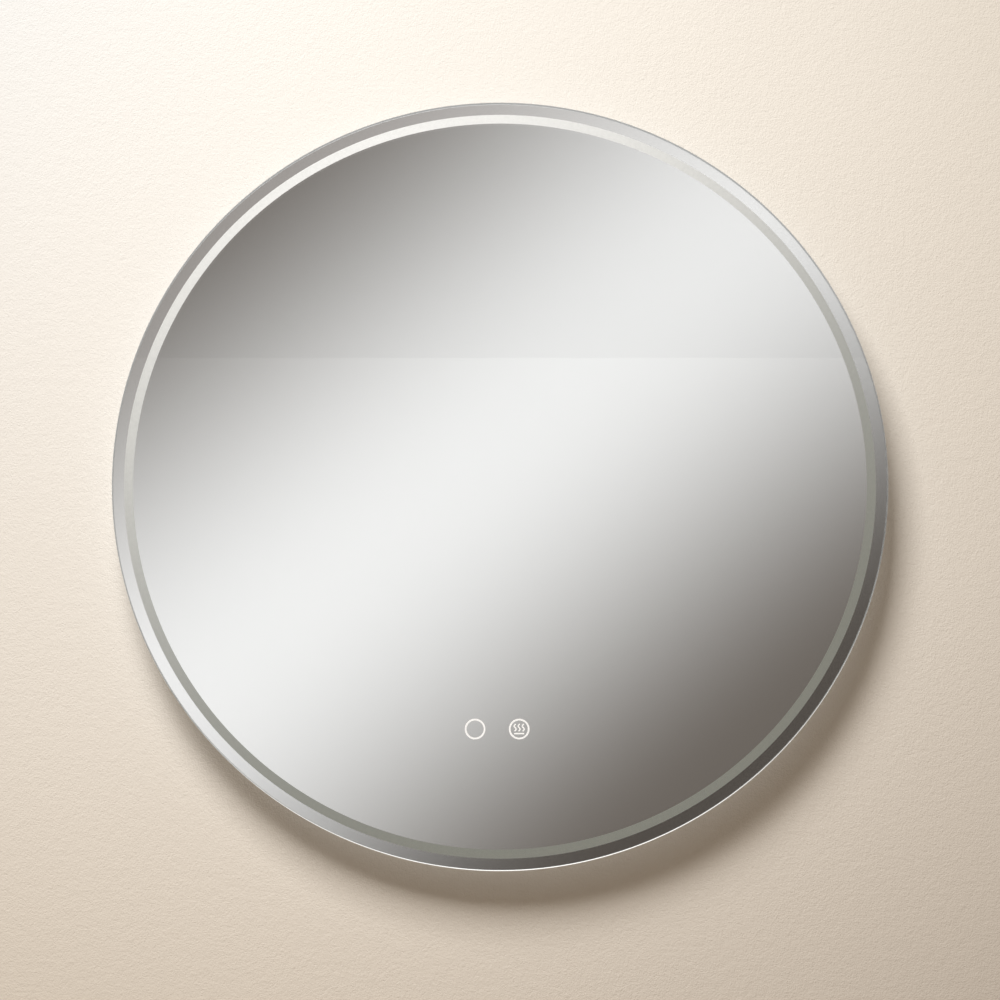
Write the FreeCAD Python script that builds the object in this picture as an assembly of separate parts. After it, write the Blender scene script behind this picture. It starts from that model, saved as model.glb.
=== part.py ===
import FreeCAD, Part
import math
import os

# A round lighted bathroom mirror that hangs on a wall rail.
#
# Millimetres, +Z up. The wall is the plane y = 0 and the glass faces -Y, so a viewer in front of it
# has +X on the right. The origin is the point of the wall behind the middle of the glass, where the
# supply cable comes out, on the axis of the cable grommet.
#
# "Depth" below always means the distance from the wall, and "radius" the distance from the mirror's
# axis. The parts are described from the glass back to the wall.

# ---------------------------------------------------------------- driving dimensions
# Glass
GLASS_R = 300.0          # radius of the pane
GLASS_T = 5.0            # thickness of the pane
ARRIS = 0.8              # ground and polished corner on both faces
FILM_GAP = 0.1           # room for the silver film, which is far thinner than this

# Coating behind the glass, and the ring etched through it for the light
COATING_T = 0.4          # thickness of the paint that backs the silver
RIM_BAND = 9.3           # mirror left outside the etched ring
ETCHED_W = 7.0           # width of the etched ring

# Chassis: an aluminium channel rolled into a hoop
CHASSIS_D = 22.0         # depth of the channel
CHASSIS_T = 1.8          # wall of the channel
LIGHT_MARGIN = 0.5       # from the etched ring out to the inside of the channel
BOND_LIP_INSET = 2.0     # from the glass edge in to the bonding lip
REAR_FLANGE_W = 14.0     # rear flange, measured inwards from the outside of the channel
HOOP_SLIT = 0.8          # between the two ends of the hoop
BOND_T = 1.0             # thickness of the bonding tape
BOND_MARGIN = 0.6        # bare lip on each side of the tape

# Plate that joins the ends of the hoop
JOINER_L = 44.0
JOINER_W = 8.0
JOINER_T = 1.5
JOINER_RIVET_X = 12.0    # from the slit to the rivet on each side
JOINER_PLACE = 0.3       # between the plate and the rear flange
JOINER_SEAT = 0.05       # between the plate and the wall it is riveted to

# Light ring
TAPE_W = 8.0             # width of the tape that carries the light chips
TAPE_T = 0.25
TAPE_SEAT = 0.05         # adhesive between the tape and the channel
TAPE_BREAK = 6.0         # gap between the two ends of the tape
FEED_LANDING = 6.5       # from the middle of the break to the lead that feeds the tape
CHIP_COUNT = 60
CHIP_L = 3.5
CHIP_W = 2.8
CHIP_T = 0.8
CHIP_SEAT = 0.02         # solder under a chip
DIFFUSER_T = 2.5
DIFFUSER_LAP = 2.5       # how far the diffuser reaches in past the etched ring
DIFFUSER_PLAY = 0.3      # between the diffuser and the channel
TAPE_TO_DIFFUSER = 1.0

# Back cover: a pressed sheet
WALL_GAP = 10.0          # between the wall and the cover
COVER_T = 1.0
COVER_INSET = 2.0        # from the outside of the channel in to the cover's edge
BEAD_R = 267.0           # middle of the stiffening bead
BEAD_TOP_W = 5.0
BEAD_SLOPE_W = 2.5
BEAD_H = 2.0
LOUVRE_L = 40.0
LOUVRE_H = 4.0           # the hood stands out as far as it is high
LOUVRE_PITCH = 11.0
LOUVRES_PER_BANK = 5
BANK_X = 150.0           # the two banks stand left and right of the driver
BANK_Z = 88.0

# Screws, and the rivets of the hoop's joiner
COVER_SCREWS = 6
COVER_SCREW_ANGLE = 0.0  # degrees from +X to the first one
SCREW_SHANK_R = 1.75
SCREW_HEAD_R = 3.6
SCREW_HEAD_H = 2.2
SCREW_L = 8.0
SCREW_PLAY = 0.25        # round the shank in a clearance hole
SCREW_BITE_PLAY = 0.05   # round the shank in a tapped hole
RIVET_SHANK_R = 1.6
RIVET_HEAD_R = 3.2
RIVET_HEAD_H = 1.0
RIVET_TAIL_R = 2.4
RIVET_TAIL_H = 1.4
RIVET_PLAY = 0.1

# Wall rail and hanger: two folded strips that hook together
RAIL_L = 280.0
HANGER_L = 260.0
STRIP_T = 1.5
BEND_R = 0.8             # inside of the folds
HOOK_Z = 190.0           # top edge of the wall rail's lip
HOOK_LIP = 12.0          # height of the wall rail's lip
HOOK_GAP = 4.0           # between the wall and the wall rail's lip
HOOK_PLAY = 0.3          # between the two lips, and under the hanger's web
HOOK_FLOOR_PLAY = 0.5    # under the hanger's lip
RAIL_FLANGE_H = 26.0
HANGER_FLANGE_H = 22.0
SLOT_SPACING = 200.0
SLOT_W = 5.5
SLOT_L = 12.0

# Bumpers that keep the lower half off the wall
BUMPER_X = 110.0
BUMPER_Z = -200.0
BUMPER_R = 11.0
BUMPER_TIP_R = 9.0

# Cable inlet
CABLE_BORE_R = 4.0
GROMMET_NECK_R = 7.0
GROMMET_FLANGE_R = 9.5
GROMMET_FLANGE_T = 2.0
GROMMET_PLAY = 0.1
CLAMP_W = 22.0
CLAMP_L = 9.0
CLAMP_H = 9.0
CLAMP_ROUND = 3.0
CLAMP_Z = 21.0
CLAMP_CABLE_R = 3.7

# Terminal box behind the access lid
BOX_L = 84.0
BOX_H = 46.0
BOX_D = 16.0
BOX_Z = 62.0
BOX_WALL = 1.8
BOX_END = 9.0            # solid ends that take the lid screws
BOX_CORNER = 3.0
ACCESS_MARGIN = 2.0      # the hole in the cover is this much smaller than the box's mouth
LID_LAP = 3.0            # how far the lid reaches past the box all round
LID_T = 1.0
LID_CORNER = 4.0
LID_SCREW_INSET = 4.5    # from the end of the box
BLOCK_L = 42.0
BLOCK_H = 17.0
BLOCK_D = 11.0
BLOCK_POLES = 3
BLOCK_PITCH = 12.0
BLOCK_WELL_R = 2.4
BLOCK_WELL_D = 4.0

# Driver
DRIVER_L = 150.0
DRIVER_H = 40.0
DRIVER_D = 15.0
DRIVER_WALL = 1.6
DRIVER_LID_T = 1.6
DRIVER_CORNER = 3.0
DRIVER_Z = 130.0
DRIVER_TAPE_T = 0.5
DRIVER_TAPE_W = 30.0
DRIVER_TAPE_X = 50.0     # from the middle of the driver to each strip of tape
BOARD_T = 1.6
BOARD_PLAY = 0.3         # between a circuit board and its case
BOARD_STANDOFF = 2.0     # under the driver's board
BOARD_RIB = 4.0          # length of the ribs that carry the driver's board at its ends
TRANSFORMER = (26.0, 22.0, 9.0)    # width, height and how far it stands off the board
CHOKE = (14.0, 12.0, 7.5)
CHOKE_X = -42.0
CAPACITOR_R = 3.8
CAPACITOR_L = 20.0
CAPACITOR_X = 30.0

# Touch sensors behind the two icons
ICON_PITCH = 33.8
ICON_SHIFT = -2.2        # the pair stands a little left of the middle
ICON_Z = -191.6
TOUCH_W = 30.0
TOUCH_H = 38.0
TOUCH_D = 9.0
TOUCH_WALL = 1.2
TOUCH_TAPE_T = 0.5
TOUCH_TAPE_MARGIN = 3.0

# Demister
PAD_W = 320.0
PAD_H = 240.0
PAD_T = 0.4
PAD_CORNER = 12.0
TRACK_T = 0.15
TRACK_W = 3.0
TRACK_PITCH = 20.0
TRACK_MARGIN = 14.0
PAD_TERMINAL_X = -105.0

# Flat twin leads inside the housing
LEAD_W = 4.0
LEAD_T = 2.0
LEAD_BEND_R = 5.0        # middle of a bend
LEAD_STRAIGHT = 12.0     # straight end of a lead before its first bend
LEAD_PLAY = 0.2          # between a lead and what carries it
MAINS_LEAD_X = -25.0
LED_CLIPS = (0.25, 0.8)  # places of the clips, as shares of a lead's run along the cover
TOUCH_CLIPS = (0.3, 0.7)
CLIP_L = 8.0
CLIP_FOOT = 3.0
CLIP_WALL = 1.2

# Earth point
EARTH_X = 78.0
EARTH_Z = 40.0
STUD_R = 2.0
STUD_L = 9.0
NUT_AF = 7.0
NUT_T = 3.2
RING_R = 4.5
RING_T = 0.8
RING_PLAY = 0.1

# ---------------------------------------------------------------- places worked out from them
V = FreeCAD.Vector
OUT = V(0, -1, 0)        # away from the wall, along the mirror's axis

DEPTH_COVER_OUT = WALL_GAP
DEPTH_COVER_IN = DEPTH_COVER_OUT + COVER_T
DEPTH_LIP = DEPTH_COVER_IN + CHASSIS_D
DEPTH_COATING = DEPTH_LIP + BOND_T
DEPTH_FILM = DEPTH_COATING + COATING_T
DEPTH_GLASS = DEPTH_FILM + FILM_GAP
DEPTH_FRONT = DEPTH_GLASS + GLASS_T

COATING_R = GLASS_R - ARRIS
ETCHED_OUT = GLASS_R - RIM_BAND
ETCHED_IN = ETCHED_OUT - ETCHED_W
CHASSIS_IN = ETCHED_OUT + LIGHT_MARGIN
CHASSIS_OUT = CHASSIS_IN + CHASSIS_T
BOND_LIP_R = GLASS_R - BOND_LIP_INSET
FLANGE_IN = CHASSIS_OUT - REAR_FLANGE_W
COVER_R = CHASSIS_OUT - COVER_INSET
COVER_SCREW_R = (FLANGE_IN + CHASSIS_OUT) / 2
TAPE_OUT = CHASSIS_IN - TAPE_SEAT
TAPE_IN = TAPE_OUT - TAPE_T
DEPTH_TAPE = DEPTH_COATING - DIFFUSER_T - TAPE_TO_DIFFUSER - TAPE_W
DEPTH_LEAD = DEPTH_COVER_IN + LEAD_PLAY + LEAD_T / 2

# The lead that feeds the light tape runs level from the driver's end to the channel.
FEED_Z = DRIVER_Z - DRIVER_H / 4
FEED_X = math.sqrt((TAPE_IN - LEAD_PLAY) ** 2 - (FEED_Z + LEAD_W / 2) ** 2)
FEED_ANGLE = math.degrees(math.atan2(FEED_Z, FEED_X))
BREAK_ANGLE = FEED_ANGLE - math.degrees(FEED_LANDING / TAPE_IN)

LID_SCREW_X = BOX_L / 2 - LID_SCREW_INSET
DEPTH_DRIVER = DEPTH_COVER_IN + DRIVER_TAPE_T
ICON_XS = (ICON_SHIFT - ICON_PITCH / 2, ICON_SHIFT + ICON_PITCH / 2)
TOUCH_FRONT = DEPTH_COATING - TOUCH_TAPE_T
TOUCH_BACK = TOUCH_FRONT - TOUCH_D
BOX_BOTTOM = BOX_Z - BOX_H / 2
BOX_TOP = BOX_Z + BOX_H / 2


# ---------------------------------------------------------------- ways of making a shape
def at(x, depth, z):
    """The point at this distance from the wall."""
    return V(x, -depth, z)


def spin(corners, base=V(), direction=OUT, start=0.0, sweep=360.0):
    """Turn an outline of (radius, distance along the axis) corners about an axis, in degrees from +X."""
    points = [V(radius, 0, along) for radius, along in corners]
    face = Part.Face(Part.makePolygon(points + points[:1]))
    face.rotate(V(), V(0, 0, 1), start)
    solid = face.revolve(V(), V(0, 0, 1), sweep)
    solid.Placement = FreeCAD.Placement(base, FreeCAD.Rotation(V(0, 0, 1), direction))
    if solid.Volume < 0:
        solid.reverse()
    return solid


def around(shape, degrees):
    """A copy turned about the mirror's axis, anticlockwise for the viewer."""
    return shape.copy().rotate(V(), OUT, degrees)


def round_corners(shape, direction, radius):
    """Fillet the straight edges that run along a direction."""
    edges = []
    for edge in shape.Edges:
        if abs(edge.tangentAt(edge.FirstParameter).dot(direction)) > 0.999:
            edges.append(edge)
    return shape.makeFillet(radius, edges)


def block(width, height, depth_from, depth_to, x=0.0, z=0.0, corner=0.0):
    """A block centred on x and z, rounded at its four corners as seen from the front."""
    corner_point = at(x - width / 2, depth_to, z - height / 2)
    shape = Part.makeBox(width, depth_to - depth_from, height, corner_point)
    if corner > 0:
        shape = round_corners(shape, OUT, corner)
    return shape


def peg(radius, depth_from, depth_to, x=0.0, z=0.0):
    """A round bar along the depth."""
    return Part.makeCylinder(radius, depth_to - depth_from, at(x, depth_from, z), OUT)


def slot_bar(width, length, depth_from, depth_to, x, z):
    """A bar with round ends, long along X."""
    straight = length - width
    shape = block(straight, width, depth_from, depth_to, x, z)
    for side in (-1, 1):
        shape = shape.fuse(peg(width / 2, depth_from, depth_to, x + side * straight / 2, z))
    return shape.removeSplitter()


def tray(width, height, depth_open, depth_floor, wall, x, z, corner):
    """A box with round corners that is open at one depth and has its floor at the other."""
    low, high = min(depth_open, depth_floor), max(depth_open, depth_floor)
    toward_floor = 1 if depth_floor > depth_open else -1
    inner = (depth_open, depth_floor - toward_floor * wall)
    outside = block(width, height, low, high, x, z, corner)
    inside = block(width - 2 * wall, height - 2 * wall, min(inner), max(inner), x, z, max(corner - wall, 0))
    return outside.cut(inside)


def pan_screw(base, direction, length=SCREW_L):
    """A screw whose head sits on the base point."""
    return spin([(0, -SCREW_HEAD_H), (SCREW_HEAD_R, -SCREW_HEAD_H), (SCREW_HEAD_R, 0),
                 (SCREW_SHANK_R, 0), (SCREW_SHANK_R, length), (0, length)], base, direction)


def blind_rivet(base, direction, grip):
    """A set rivet: its head sits on the base point and its tail closes behind the grip."""
    tail = grip + RIVET_PLAY / 2
    return spin([(0, -RIVET_HEAD_H), (RIVET_SHANK_R, -RIVET_HEAD_H), (RIVET_HEAD_R, 0),
                 (RIVET_SHANK_R, 0), (RIVET_SHANK_R, tail), (RIVET_TAIL_R, tail),
                 (RIVET_TAIL_R, tail + RIVET_TAIL_H), (0, tail + RIVET_TAIL_H)], base, direction)


def flat_lead(points, side):
    """A flat twin lead along a route, with round bends. Side is the direction of its width."""
    edges = []
    start = points[0]
    for before, corner, after in zip(points, points[1:], points[2:]):
        arrive = (corner - before).normalize()
        leave = (after - corner).normalize()
        turn = arrive.getAngle(leave)
        reach = LEAD_BEND_R * math.tan(turn / 2)
        enter = corner - arrive * reach
        exit_ = corner + leave * reach
        bulge = (leave - arrive).normalize() * (LEAD_BEND_R / math.cos(turn / 2) - LEAD_BEND_R)
        edges.append(Part.LineSegment(start, enter).toShape())
        edges.append(Part.Arc(enter, corner + bulge, exit_).toShape())
        start = exit_
    edges.append(Part.LineSegment(start, points[-1]).toShape())
    first = (points[1] - points[0]).normalize()
    across = side * (LEAD_W / 2)
    thick = first.cross(side).normalize() * (LEAD_T / 2)
    middle = points[0]
    low, high = middle - thick, middle + thick
    section = Part.makePolygon([low - across, low + across, high + across, high - across, low - across])
    return Part.Wire(edges).makePipeShell([section], True, False)


def grouped(solids):
    """Like pieces that share a node."""
    return Part.makeCompound(solids)


# ---------------------------------------------------------------- glass, coating and light ring
def mirror_glass():
    return spin([(0, DEPTH_GLASS), (GLASS_R - ARRIS, DEPTH_GLASS), (GLASS_R, DEPTH_GLASS + ARRIS),
                 (GLASS_R, DEPTH_FRONT - ARRIS), (GLASS_R - ARRIS, DEPTH_FRONT), (0, DEPTH_FRONT)])


def annulus(inner, outer, depth_from, depth_to):
    return spin([(inner, depth_from), (outer, depth_from), (outer, depth_to), (inner, depth_to)])


def mirror_coating():
    """The etched ring parts the coating into a middle disc and a rim."""
    middle = peg(ETCHED_IN, DEPTH_COATING, DEPTH_FILM)
    rim = annulus(ETCHED_OUT, COATING_R, DEPTH_COATING, DEPTH_FILM)
    return grouped([middle, rim])


def bond_tape():
    return annulus(CHASSIS_OUT + BOND_MARGIN, BOND_LIP_R - BOND_MARGIN, DEPTH_LIP, DEPTH_COATING)


def diffuser_ring():
    inner = ETCHED_IN - DIFFUSER_LAP
    outer = CHASSIS_IN - DIFFUSER_PLAY
    return annulus(inner, outer, DEPTH_COATING - DIFFUSER_T, DEPTH_COATING)


def led_tape():
    half_break = math.degrees(TAPE_BREAK / 2 / CHASSIS_IN)
    outline = [(TAPE_IN, DEPTH_TAPE), (TAPE_OUT, DEPTH_TAPE),
               (TAPE_OUT, DEPTH_TAPE + TAPE_W), (TAPE_IN, DEPTH_TAPE + TAPE_W)]
    return spin(outline, start=BREAK_ANGLE + half_break, sweep=360 - 2 * half_break)


def led_chips():
    """Chips sit half a pitch away from the break in the tape."""
    middle = DEPTH_TAPE + TAPE_W / 2
    corner_point = at(TAPE_IN - CHIP_SEAT - CHIP_T, middle + CHIP_W / 2, -CHIP_L / 2)
    chip = Part.makeBox(CHIP_T, CHIP_W, CHIP_L, corner_point)
    pitch = 360 / CHIP_COUNT
    return grouped([around(chip, BREAK_ANGLE + (i + 0.5) * pitch) for i in range(CHIP_COUNT)])


# ---------------------------------------------------------------- chassis
def joiner_rivet_places():
    """The point on the outside of the hoop and the inward direction of each rivet."""
    depth = DEPTH_COVER_IN + CHASSIS_T + JOINER_PLACE + JOINER_W / 2
    places = []
    for along in (-JOINER_RIVET_X, JOINER_RIVET_X):
        angle = math.radians(270) + along / CHASSIS_OUT
        inward = V(-math.cos(angle), 0, -math.sin(angle))
        places.append((at(0, depth, 0) - inward * CHASSIS_OUT, inward))
    return places


def cover_screw_places():
    places = []
    for i in range(COVER_SCREWS):
        angle = math.radians(COVER_SCREW_ANGLE + i * 360 / COVER_SCREWS)
        places.append((COVER_SCREW_R * math.cos(angle), COVER_SCREW_R * math.sin(angle)))
    return places


def chassis_ring():
    """A channel with an outward bonding lip in front and an inward flange behind, open at its slit."""
    flange_front = DEPTH_COVER_IN + CHASSIS_T
    lip_back = DEPTH_LIP - CHASSIS_T
    outline = [(FLANGE_IN, DEPTH_COVER_IN), (CHASSIS_OUT, DEPTH_COVER_IN), (CHASSIS_OUT, lip_back),
               (BOND_LIP_R, lip_back), (BOND_LIP_R, DEPTH_LIP), (CHASSIS_IN, DEPTH_LIP),
               (CHASSIS_IN, flange_front), (FLANGE_IN, flange_front)]
    half_slit = math.degrees(HOOP_SLIT / 2 / CHASSIS_OUT)
    hoop = spin(outline, start=270 + half_slit, sweep=360 - 2 * half_slit)
    holes = []
    for x, z in cover_screw_places():
        holes.append(peg(SCREW_SHANK_R + SCREW_BITE_PLAY, DEPTH_COVER_OUT, flange_front + COVER_T, x, z))
    for point, inward in joiner_rivet_places():
        start = point - inward * CHASSIS_T
        holes.append(Part.makeCylinder(RIVET_SHANK_R + RIVET_PLAY, 3 * CHASSIS_T, start, inward))
    return hoop.cut(grouped(holes))


def chassis_joiner():
    outer = CHASSIS_IN - JOINER_SEAT
    inner = outer - JOINER_T
    near = DEPTH_COVER_IN + CHASSIS_T + JOINER_PLACE
    far = near + JOINER_W
    outline = [(inner, near), (outer, near), (outer, far), (inner, far)]
    half = math.degrees(JOINER_L / 2 / CHASSIS_IN)
    plate = spin(outline, start=270 - half, sweep=2 * half)
    holes = []
    for point, inward in joiner_rivet_places():
        holes.append(Part.makeCylinder(RIVET_SHANK_R + RIVET_PLAY, CHASSIS_T + 2 * JOINER_T, point, inward))
    return plate.cut(grouped(holes))


def joiner_rivets():
    grip = CHASSIS_T + JOINER_SEAT + JOINER_T + RIVET_PLAY
    return grouped([blind_rivet(point, inward, grip) for point, inward in joiner_rivet_places()])


# ---------------------------------------------------------------- back cover
def louvre_hood(length, height):
    """A quarter of a round bar along X, on the wall side of the cover, with ends mitred at 45 degrees.

    Its round side meets the sheet at the top, and its flat open side looks down at z = 0."""
    sheet = DEPTH_COVER_OUT
    arch = Part.Arc(at(-length / 2, sheet, height),
                    at(-length / 2, sheet - height * math.sqrt(0.5), height * math.sqrt(0.5)),
                    at(-length / 2, sheet - height, 0)).toShape()
    corner = at(-length / 2, sheet, 0)
    flat = Part.makePolygon([at(-length / 2, sheet - height, 0), corner, at(-length / 2, sheet, height)])
    quarter = Part.Face(Part.Wire([arch] + flat.Edges)).extrude(V(length, 0, 0))
    plan = [at(-length / 2, sheet, 0), at(length / 2, sheet, 0),
            at(length / 2 - height, sheet - height, 0), at(height - length / 2, sheet - height, 0)]
    mitre = Part.Face(Part.makePolygon(plan + plan[:1])).extrude(V(0, 0, height))
    return quarter.common(mitre)


def louvre_parts():
    """One louvre with its opening at z = 0: the hood to add, and the hollow to take away."""
    hood = louvre_hood(LOUVRE_L, LOUVRE_H)
    inner_l = LOUVRE_L - 2 * math.sqrt(2) * COVER_T
    inner_h = LOUVRE_H - COVER_T
    slit = block(inner_l, inner_h, DEPTH_COVER_OUT, DEPTH_COVER_IN, 0, inner_h / 2)
    return hood, louvre_hood(inner_l, inner_h).fuse(slit)


def back_cover():
    """A flat sheet with a round stiffening bead, two banks of louvres and its holes."""
    slope_angle = math.atan2(BEAD_H, BEAD_SLOPE_W)
    shift = COVER_T * math.tan(slope_angle / 2)
    foot_in = BEAD_R - BEAD_TOP_W / 2 - BEAD_SLOPE_W
    foot_out = BEAD_R + BEAD_TOP_W / 2 + BEAD_SLOPE_W
    top_in, top_out = foot_in + BEAD_SLOPE_W, foot_out - BEAD_SLOPE_W
    top = DEPTH_COVER_OUT - BEAD_H
    sheet = spin([(0, DEPTH_COVER_OUT), (foot_in, DEPTH_COVER_OUT), (top_in, top), (top_out, top),
                  (foot_out, DEPTH_COVER_OUT), (COVER_R, DEPTH_COVER_OUT), (COVER_R, DEPTH_COVER_IN),
                  (foot_out - shift, DEPTH_COVER_IN), (top_out - shift, top + COVER_T),
                  (top_in + shift, top + COVER_T), (foot_in + shift, DEPTH_COVER_IN), (0, DEPTH_COVER_IN)])

    hood, hollow = louvre_parts()
    hoods, cuts = [], []
    for side in (-1, 1):
        for i in range(LOUVRES_PER_BANK):
            place = V(side * BANK_X, 0, BANK_Z + (i - (LOUVRES_PER_BANK - 1) / 2) * LOUVRE_PITCH)
            hoods.append(hood.copy().translate(place))
            cuts.append(hollow.copy().translate(place))

    through = (DEPTH_COVER_OUT - COVER_T, DEPTH_COVER_IN + COVER_T)
    screw_hole = SCREW_SHANK_R + SCREW_PLAY
    spots = cover_screw_places()
    spots += [(side * LID_SCREW_X, BOX_Z) for side in (-1, 1)]
    cuts += [peg(screw_hole, *through, x, z) for x, z in spots]
    cuts.append(peg(GROMMET_NECK_R, *through))
    mouth_w = BOX_L - 2 * BOX_END - 2 * ACCESS_MARGIN
    mouth_h = BOX_H - 2 * BOX_WALL - 2 * ACCESS_MARGIN
    cuts.append(block(mouth_w, mouth_h, *through, 0, BOX_Z, BOX_CORNER))
    return sheet.fuse(hoods).cut(grouped(cuts)).removeSplitter()


def cover_screws():
    return grouped([pan_screw(at(x, DEPTH_COVER_OUT, z), OUT) for x, z in cover_screw_places()])


# ---------------------------------------------------------------- wall rail and hanger
def folded_strip(corners, folds, length):
    """A strip along X from its (depth, z) outline. Folds are (depth, z, radius) of the edges to round."""
    points = [at(-length / 2, depth, z) for depth, z in corners]
    strip = Part.Face(Part.makePolygon(points + points[:1])).extrude(V(length, 0, 0))
    for depth, z, radius in folds:
        spot = at(0, depth, z)
        edges = [e for e in strip.Edges if (e.CenterOfMass - spot).Length < 0.01]
        strip = strip.makeFillet(radius, edges)
    return strip


def wall_rail():
    """A flange on the wall, a web that steps off it, and a lip that stands up clear of the wall."""
    web = HOOK_Z - HOOK_LIP
    lip = HOOK_GAP + STRIP_T
    foot = web - RAIL_FLANGE_H
    corners = [(0, foot), (STRIP_T, foot), (STRIP_T, web), (lip, web), (lip, HOOK_Z),
               (HOOK_GAP, HOOK_Z), (HOOK_GAP, web + STRIP_T), (0, web + STRIP_T)]
    folds = [(STRIP_T, web, BEND_R), (HOOK_GAP, web + STRIP_T, BEND_R),
             (lip, web, BEND_R + STRIP_T), (0, web + STRIP_T, BEND_R + STRIP_T)]
    rail = folded_strip(corners, folds, RAIL_L)
    for side in (-1, 1):
        rail = rail.cut(slot_bar(SLOT_W, SLOT_L, -STRIP_T, 2 * STRIP_T, side * SLOT_SPACING / 2,
                                 foot + RAIL_FLANGE_H / 2))
    return rail


def hanger_rail():
    """The same strip turned over and welded to the cover: its lip hangs behind the wall rail's lip."""
    web = HOOK_Z + HOOK_PLAY
    top = web + STRIP_T + HANGER_FLANGE_H
    lip_front = HOOK_GAP - HOOK_PLAY
    lip_back = lip_front - STRIP_T
    lip_end = HOOK_Z - HOOK_LIP + STRIP_T + HOOK_FLOOR_PLAY
    flange = DEPTH_COVER_OUT - STRIP_T
    corners = [(DEPTH_COVER_OUT, top), (flange, top), (flange, web + STRIP_T), (lip_back, web + STRIP_T),
               (lip_back, lip_end), (lip_front, lip_end), (lip_front, web), (DEPTH_COVER_OUT, web)]
    folds = [(flange, web + STRIP_T, BEND_R), (lip_front, web, BEND_R),
             (lip_back, web + STRIP_T, BEND_R + STRIP_T), (DEPTH_COVER_OUT, web, BEND_R + STRIP_T)]
    return folded_strip(corners, folds, HANGER_L)


def bumper_pads():
    outline = [(0, 0), (BUMPER_TIP_R, 0), (BUMPER_R, DEPTH_COVER_OUT), (0, DEPTH_COVER_OUT)]
    return grouped([spin(outline, V(side * BUMPER_X, 0, BUMPER_Z)) for side in (-1, 1)])


# ---------------------------------------------------------------- cable inlet and terminal box
def cable_grommet():
    neck = GROMMET_NECK_R - GROMMET_PLAY
    back = DEPTH_COVER_OUT - GROMMET_FLANGE_T
    front = DEPTH_COVER_IN + GROMMET_FLANGE_T
    return spin([(CABLE_BORE_R, back), (GROMMET_FLANGE_R, back), (GROMMET_FLANGE_R, DEPTH_COVER_OUT),
                 (neck, DEPTH_COVER_OUT), (neck, DEPTH_COVER_IN), (GROMMET_FLANGE_R, DEPTH_COVER_IN),
                 (GROMMET_FLANGE_R, front), (CABLE_BORE_R, front)])


def cord_clamp():
    """A saddle on the cover, above the grommet, with a channel for the supply cable."""
    saddle = block(CLAMP_W, CLAMP_L, DEPTH_COVER_IN, DEPTH_COVER_IN + CLAMP_H, 0, CLAMP_Z)
    top = [e for e in saddle.Edges if e.CenterOfMass.y < -(DEPTH_COVER_IN + CLAMP_H) + 0.01
           and abs(e.CenterOfMass.x) > CLAMP_W / 2 - 0.01]
    saddle = saddle.makeFillet(CLAMP_ROUND, top)
    start = at(0, DEPTH_COVER_IN + CLAMP_CABLE_R, CLAMP_Z - CLAMP_L)
    channel = Part.makeCylinder(CLAMP_CABLE_R, 2 * CLAMP_L, start, V(0, 0, 1))
    mouth = block(2 * CLAMP_CABLE_R, 2 * CLAMP_L, DEPTH_COVER_IN, DEPTH_COVER_IN + CLAMP_CABLE_R, 0, CLAMP_Z)
    return saddle.cut(channel.fuse(mouth))


def terminal_box():
    """A moulded tray whose mouth lies on the cover, with solid ends for the lid screws."""
    floor = DEPTH_COVER_IN + BOX_D
    shape = block(BOX_L, BOX_H, DEPTH_COVER_IN, floor, 0, BOX_Z, BOX_CORNER)
    shape = shape.cut(block(BOX_L - 2 * BOX_END, BOX_H - 2 * BOX_WALL, DEPTH_COVER_IN, floor - BOX_WALL,
                            0, BOX_Z))
    hole_r = SCREW_SHANK_R + SCREW_BITE_PLAY
    hole_end = DEPTH_COVER_OUT + SCREW_L
    holes = [peg(hole_r, DEPTH_COVER_IN, hole_end, side * LID_SCREW_X, BOX_Z) for side in (-1, 1)]
    notch_end = DEPTH_COVER_IN + 2 * CLAMP_CABLE_R
    notch = block(2 * CLAMP_CABLE_R, 2 * BOX_WALL, DEPTH_COVER_IN, notch_end, 0, BOX_BOTTOM)
    return shape.cut(grouped(holes)).cut(notch)


def terminal_block():
    """A bar of terminals on the box's floor, with a screw well for each pole."""
    floor = DEPTH_COVER_IN + BOX_D - BOX_WALL
    top = floor - BLOCK_D
    shape = block(BLOCK_L, BLOCK_H, top, floor, 0, BOX_Z)
    wells = []
    for i in range(BLOCK_POLES):
        x = (i - (BLOCK_POLES - 1) / 2) * BLOCK_PITCH
        wells.append(peg(BLOCK_WELL_R, top, top + BLOCK_WELL_D, x, BOX_Z))
    return shape.cut(grouped(wells))


def access_lid():
    """A plate over the hole in the cover, on the side of the wall."""
    plate = block(BOX_L + 2 * LID_LAP, BOX_H + 2 * LID_LAP, DEPTH_COVER_OUT - LID_T, DEPTH_COVER_OUT,
                  0, BOX_Z, LID_CORNER)
    hole_r = SCREW_SHANK_R + SCREW_PLAY
    hole_start = DEPTH_COVER_OUT - 2 * LID_T
    holes = [peg(hole_r, hole_start, DEPTH_COVER_IN, side * LID_SCREW_X, BOX_Z) for side in (-1, 1)]
    return plate.cut(grouped(holes))


def lid_screws():
    head = DEPTH_COVER_OUT - LID_T
    return grouped([pan_screw(at(side * LID_SCREW_X, head, BOX_Z), OUT) for side in (-1, 1)])


# ---------------------------------------------------------------- driver
def driver_tapes():
    """Two strips of mounting tape hold the driver on the cover."""
    return grouped([block(DRIVER_TAPE_W, DRIVER_H - 2 * DRIVER_CORNER, DEPTH_COVER_IN, DEPTH_DRIVER,
                          side * DRIVER_TAPE_X, DRIVER_Z) for side in (-1, 1)])


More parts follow.
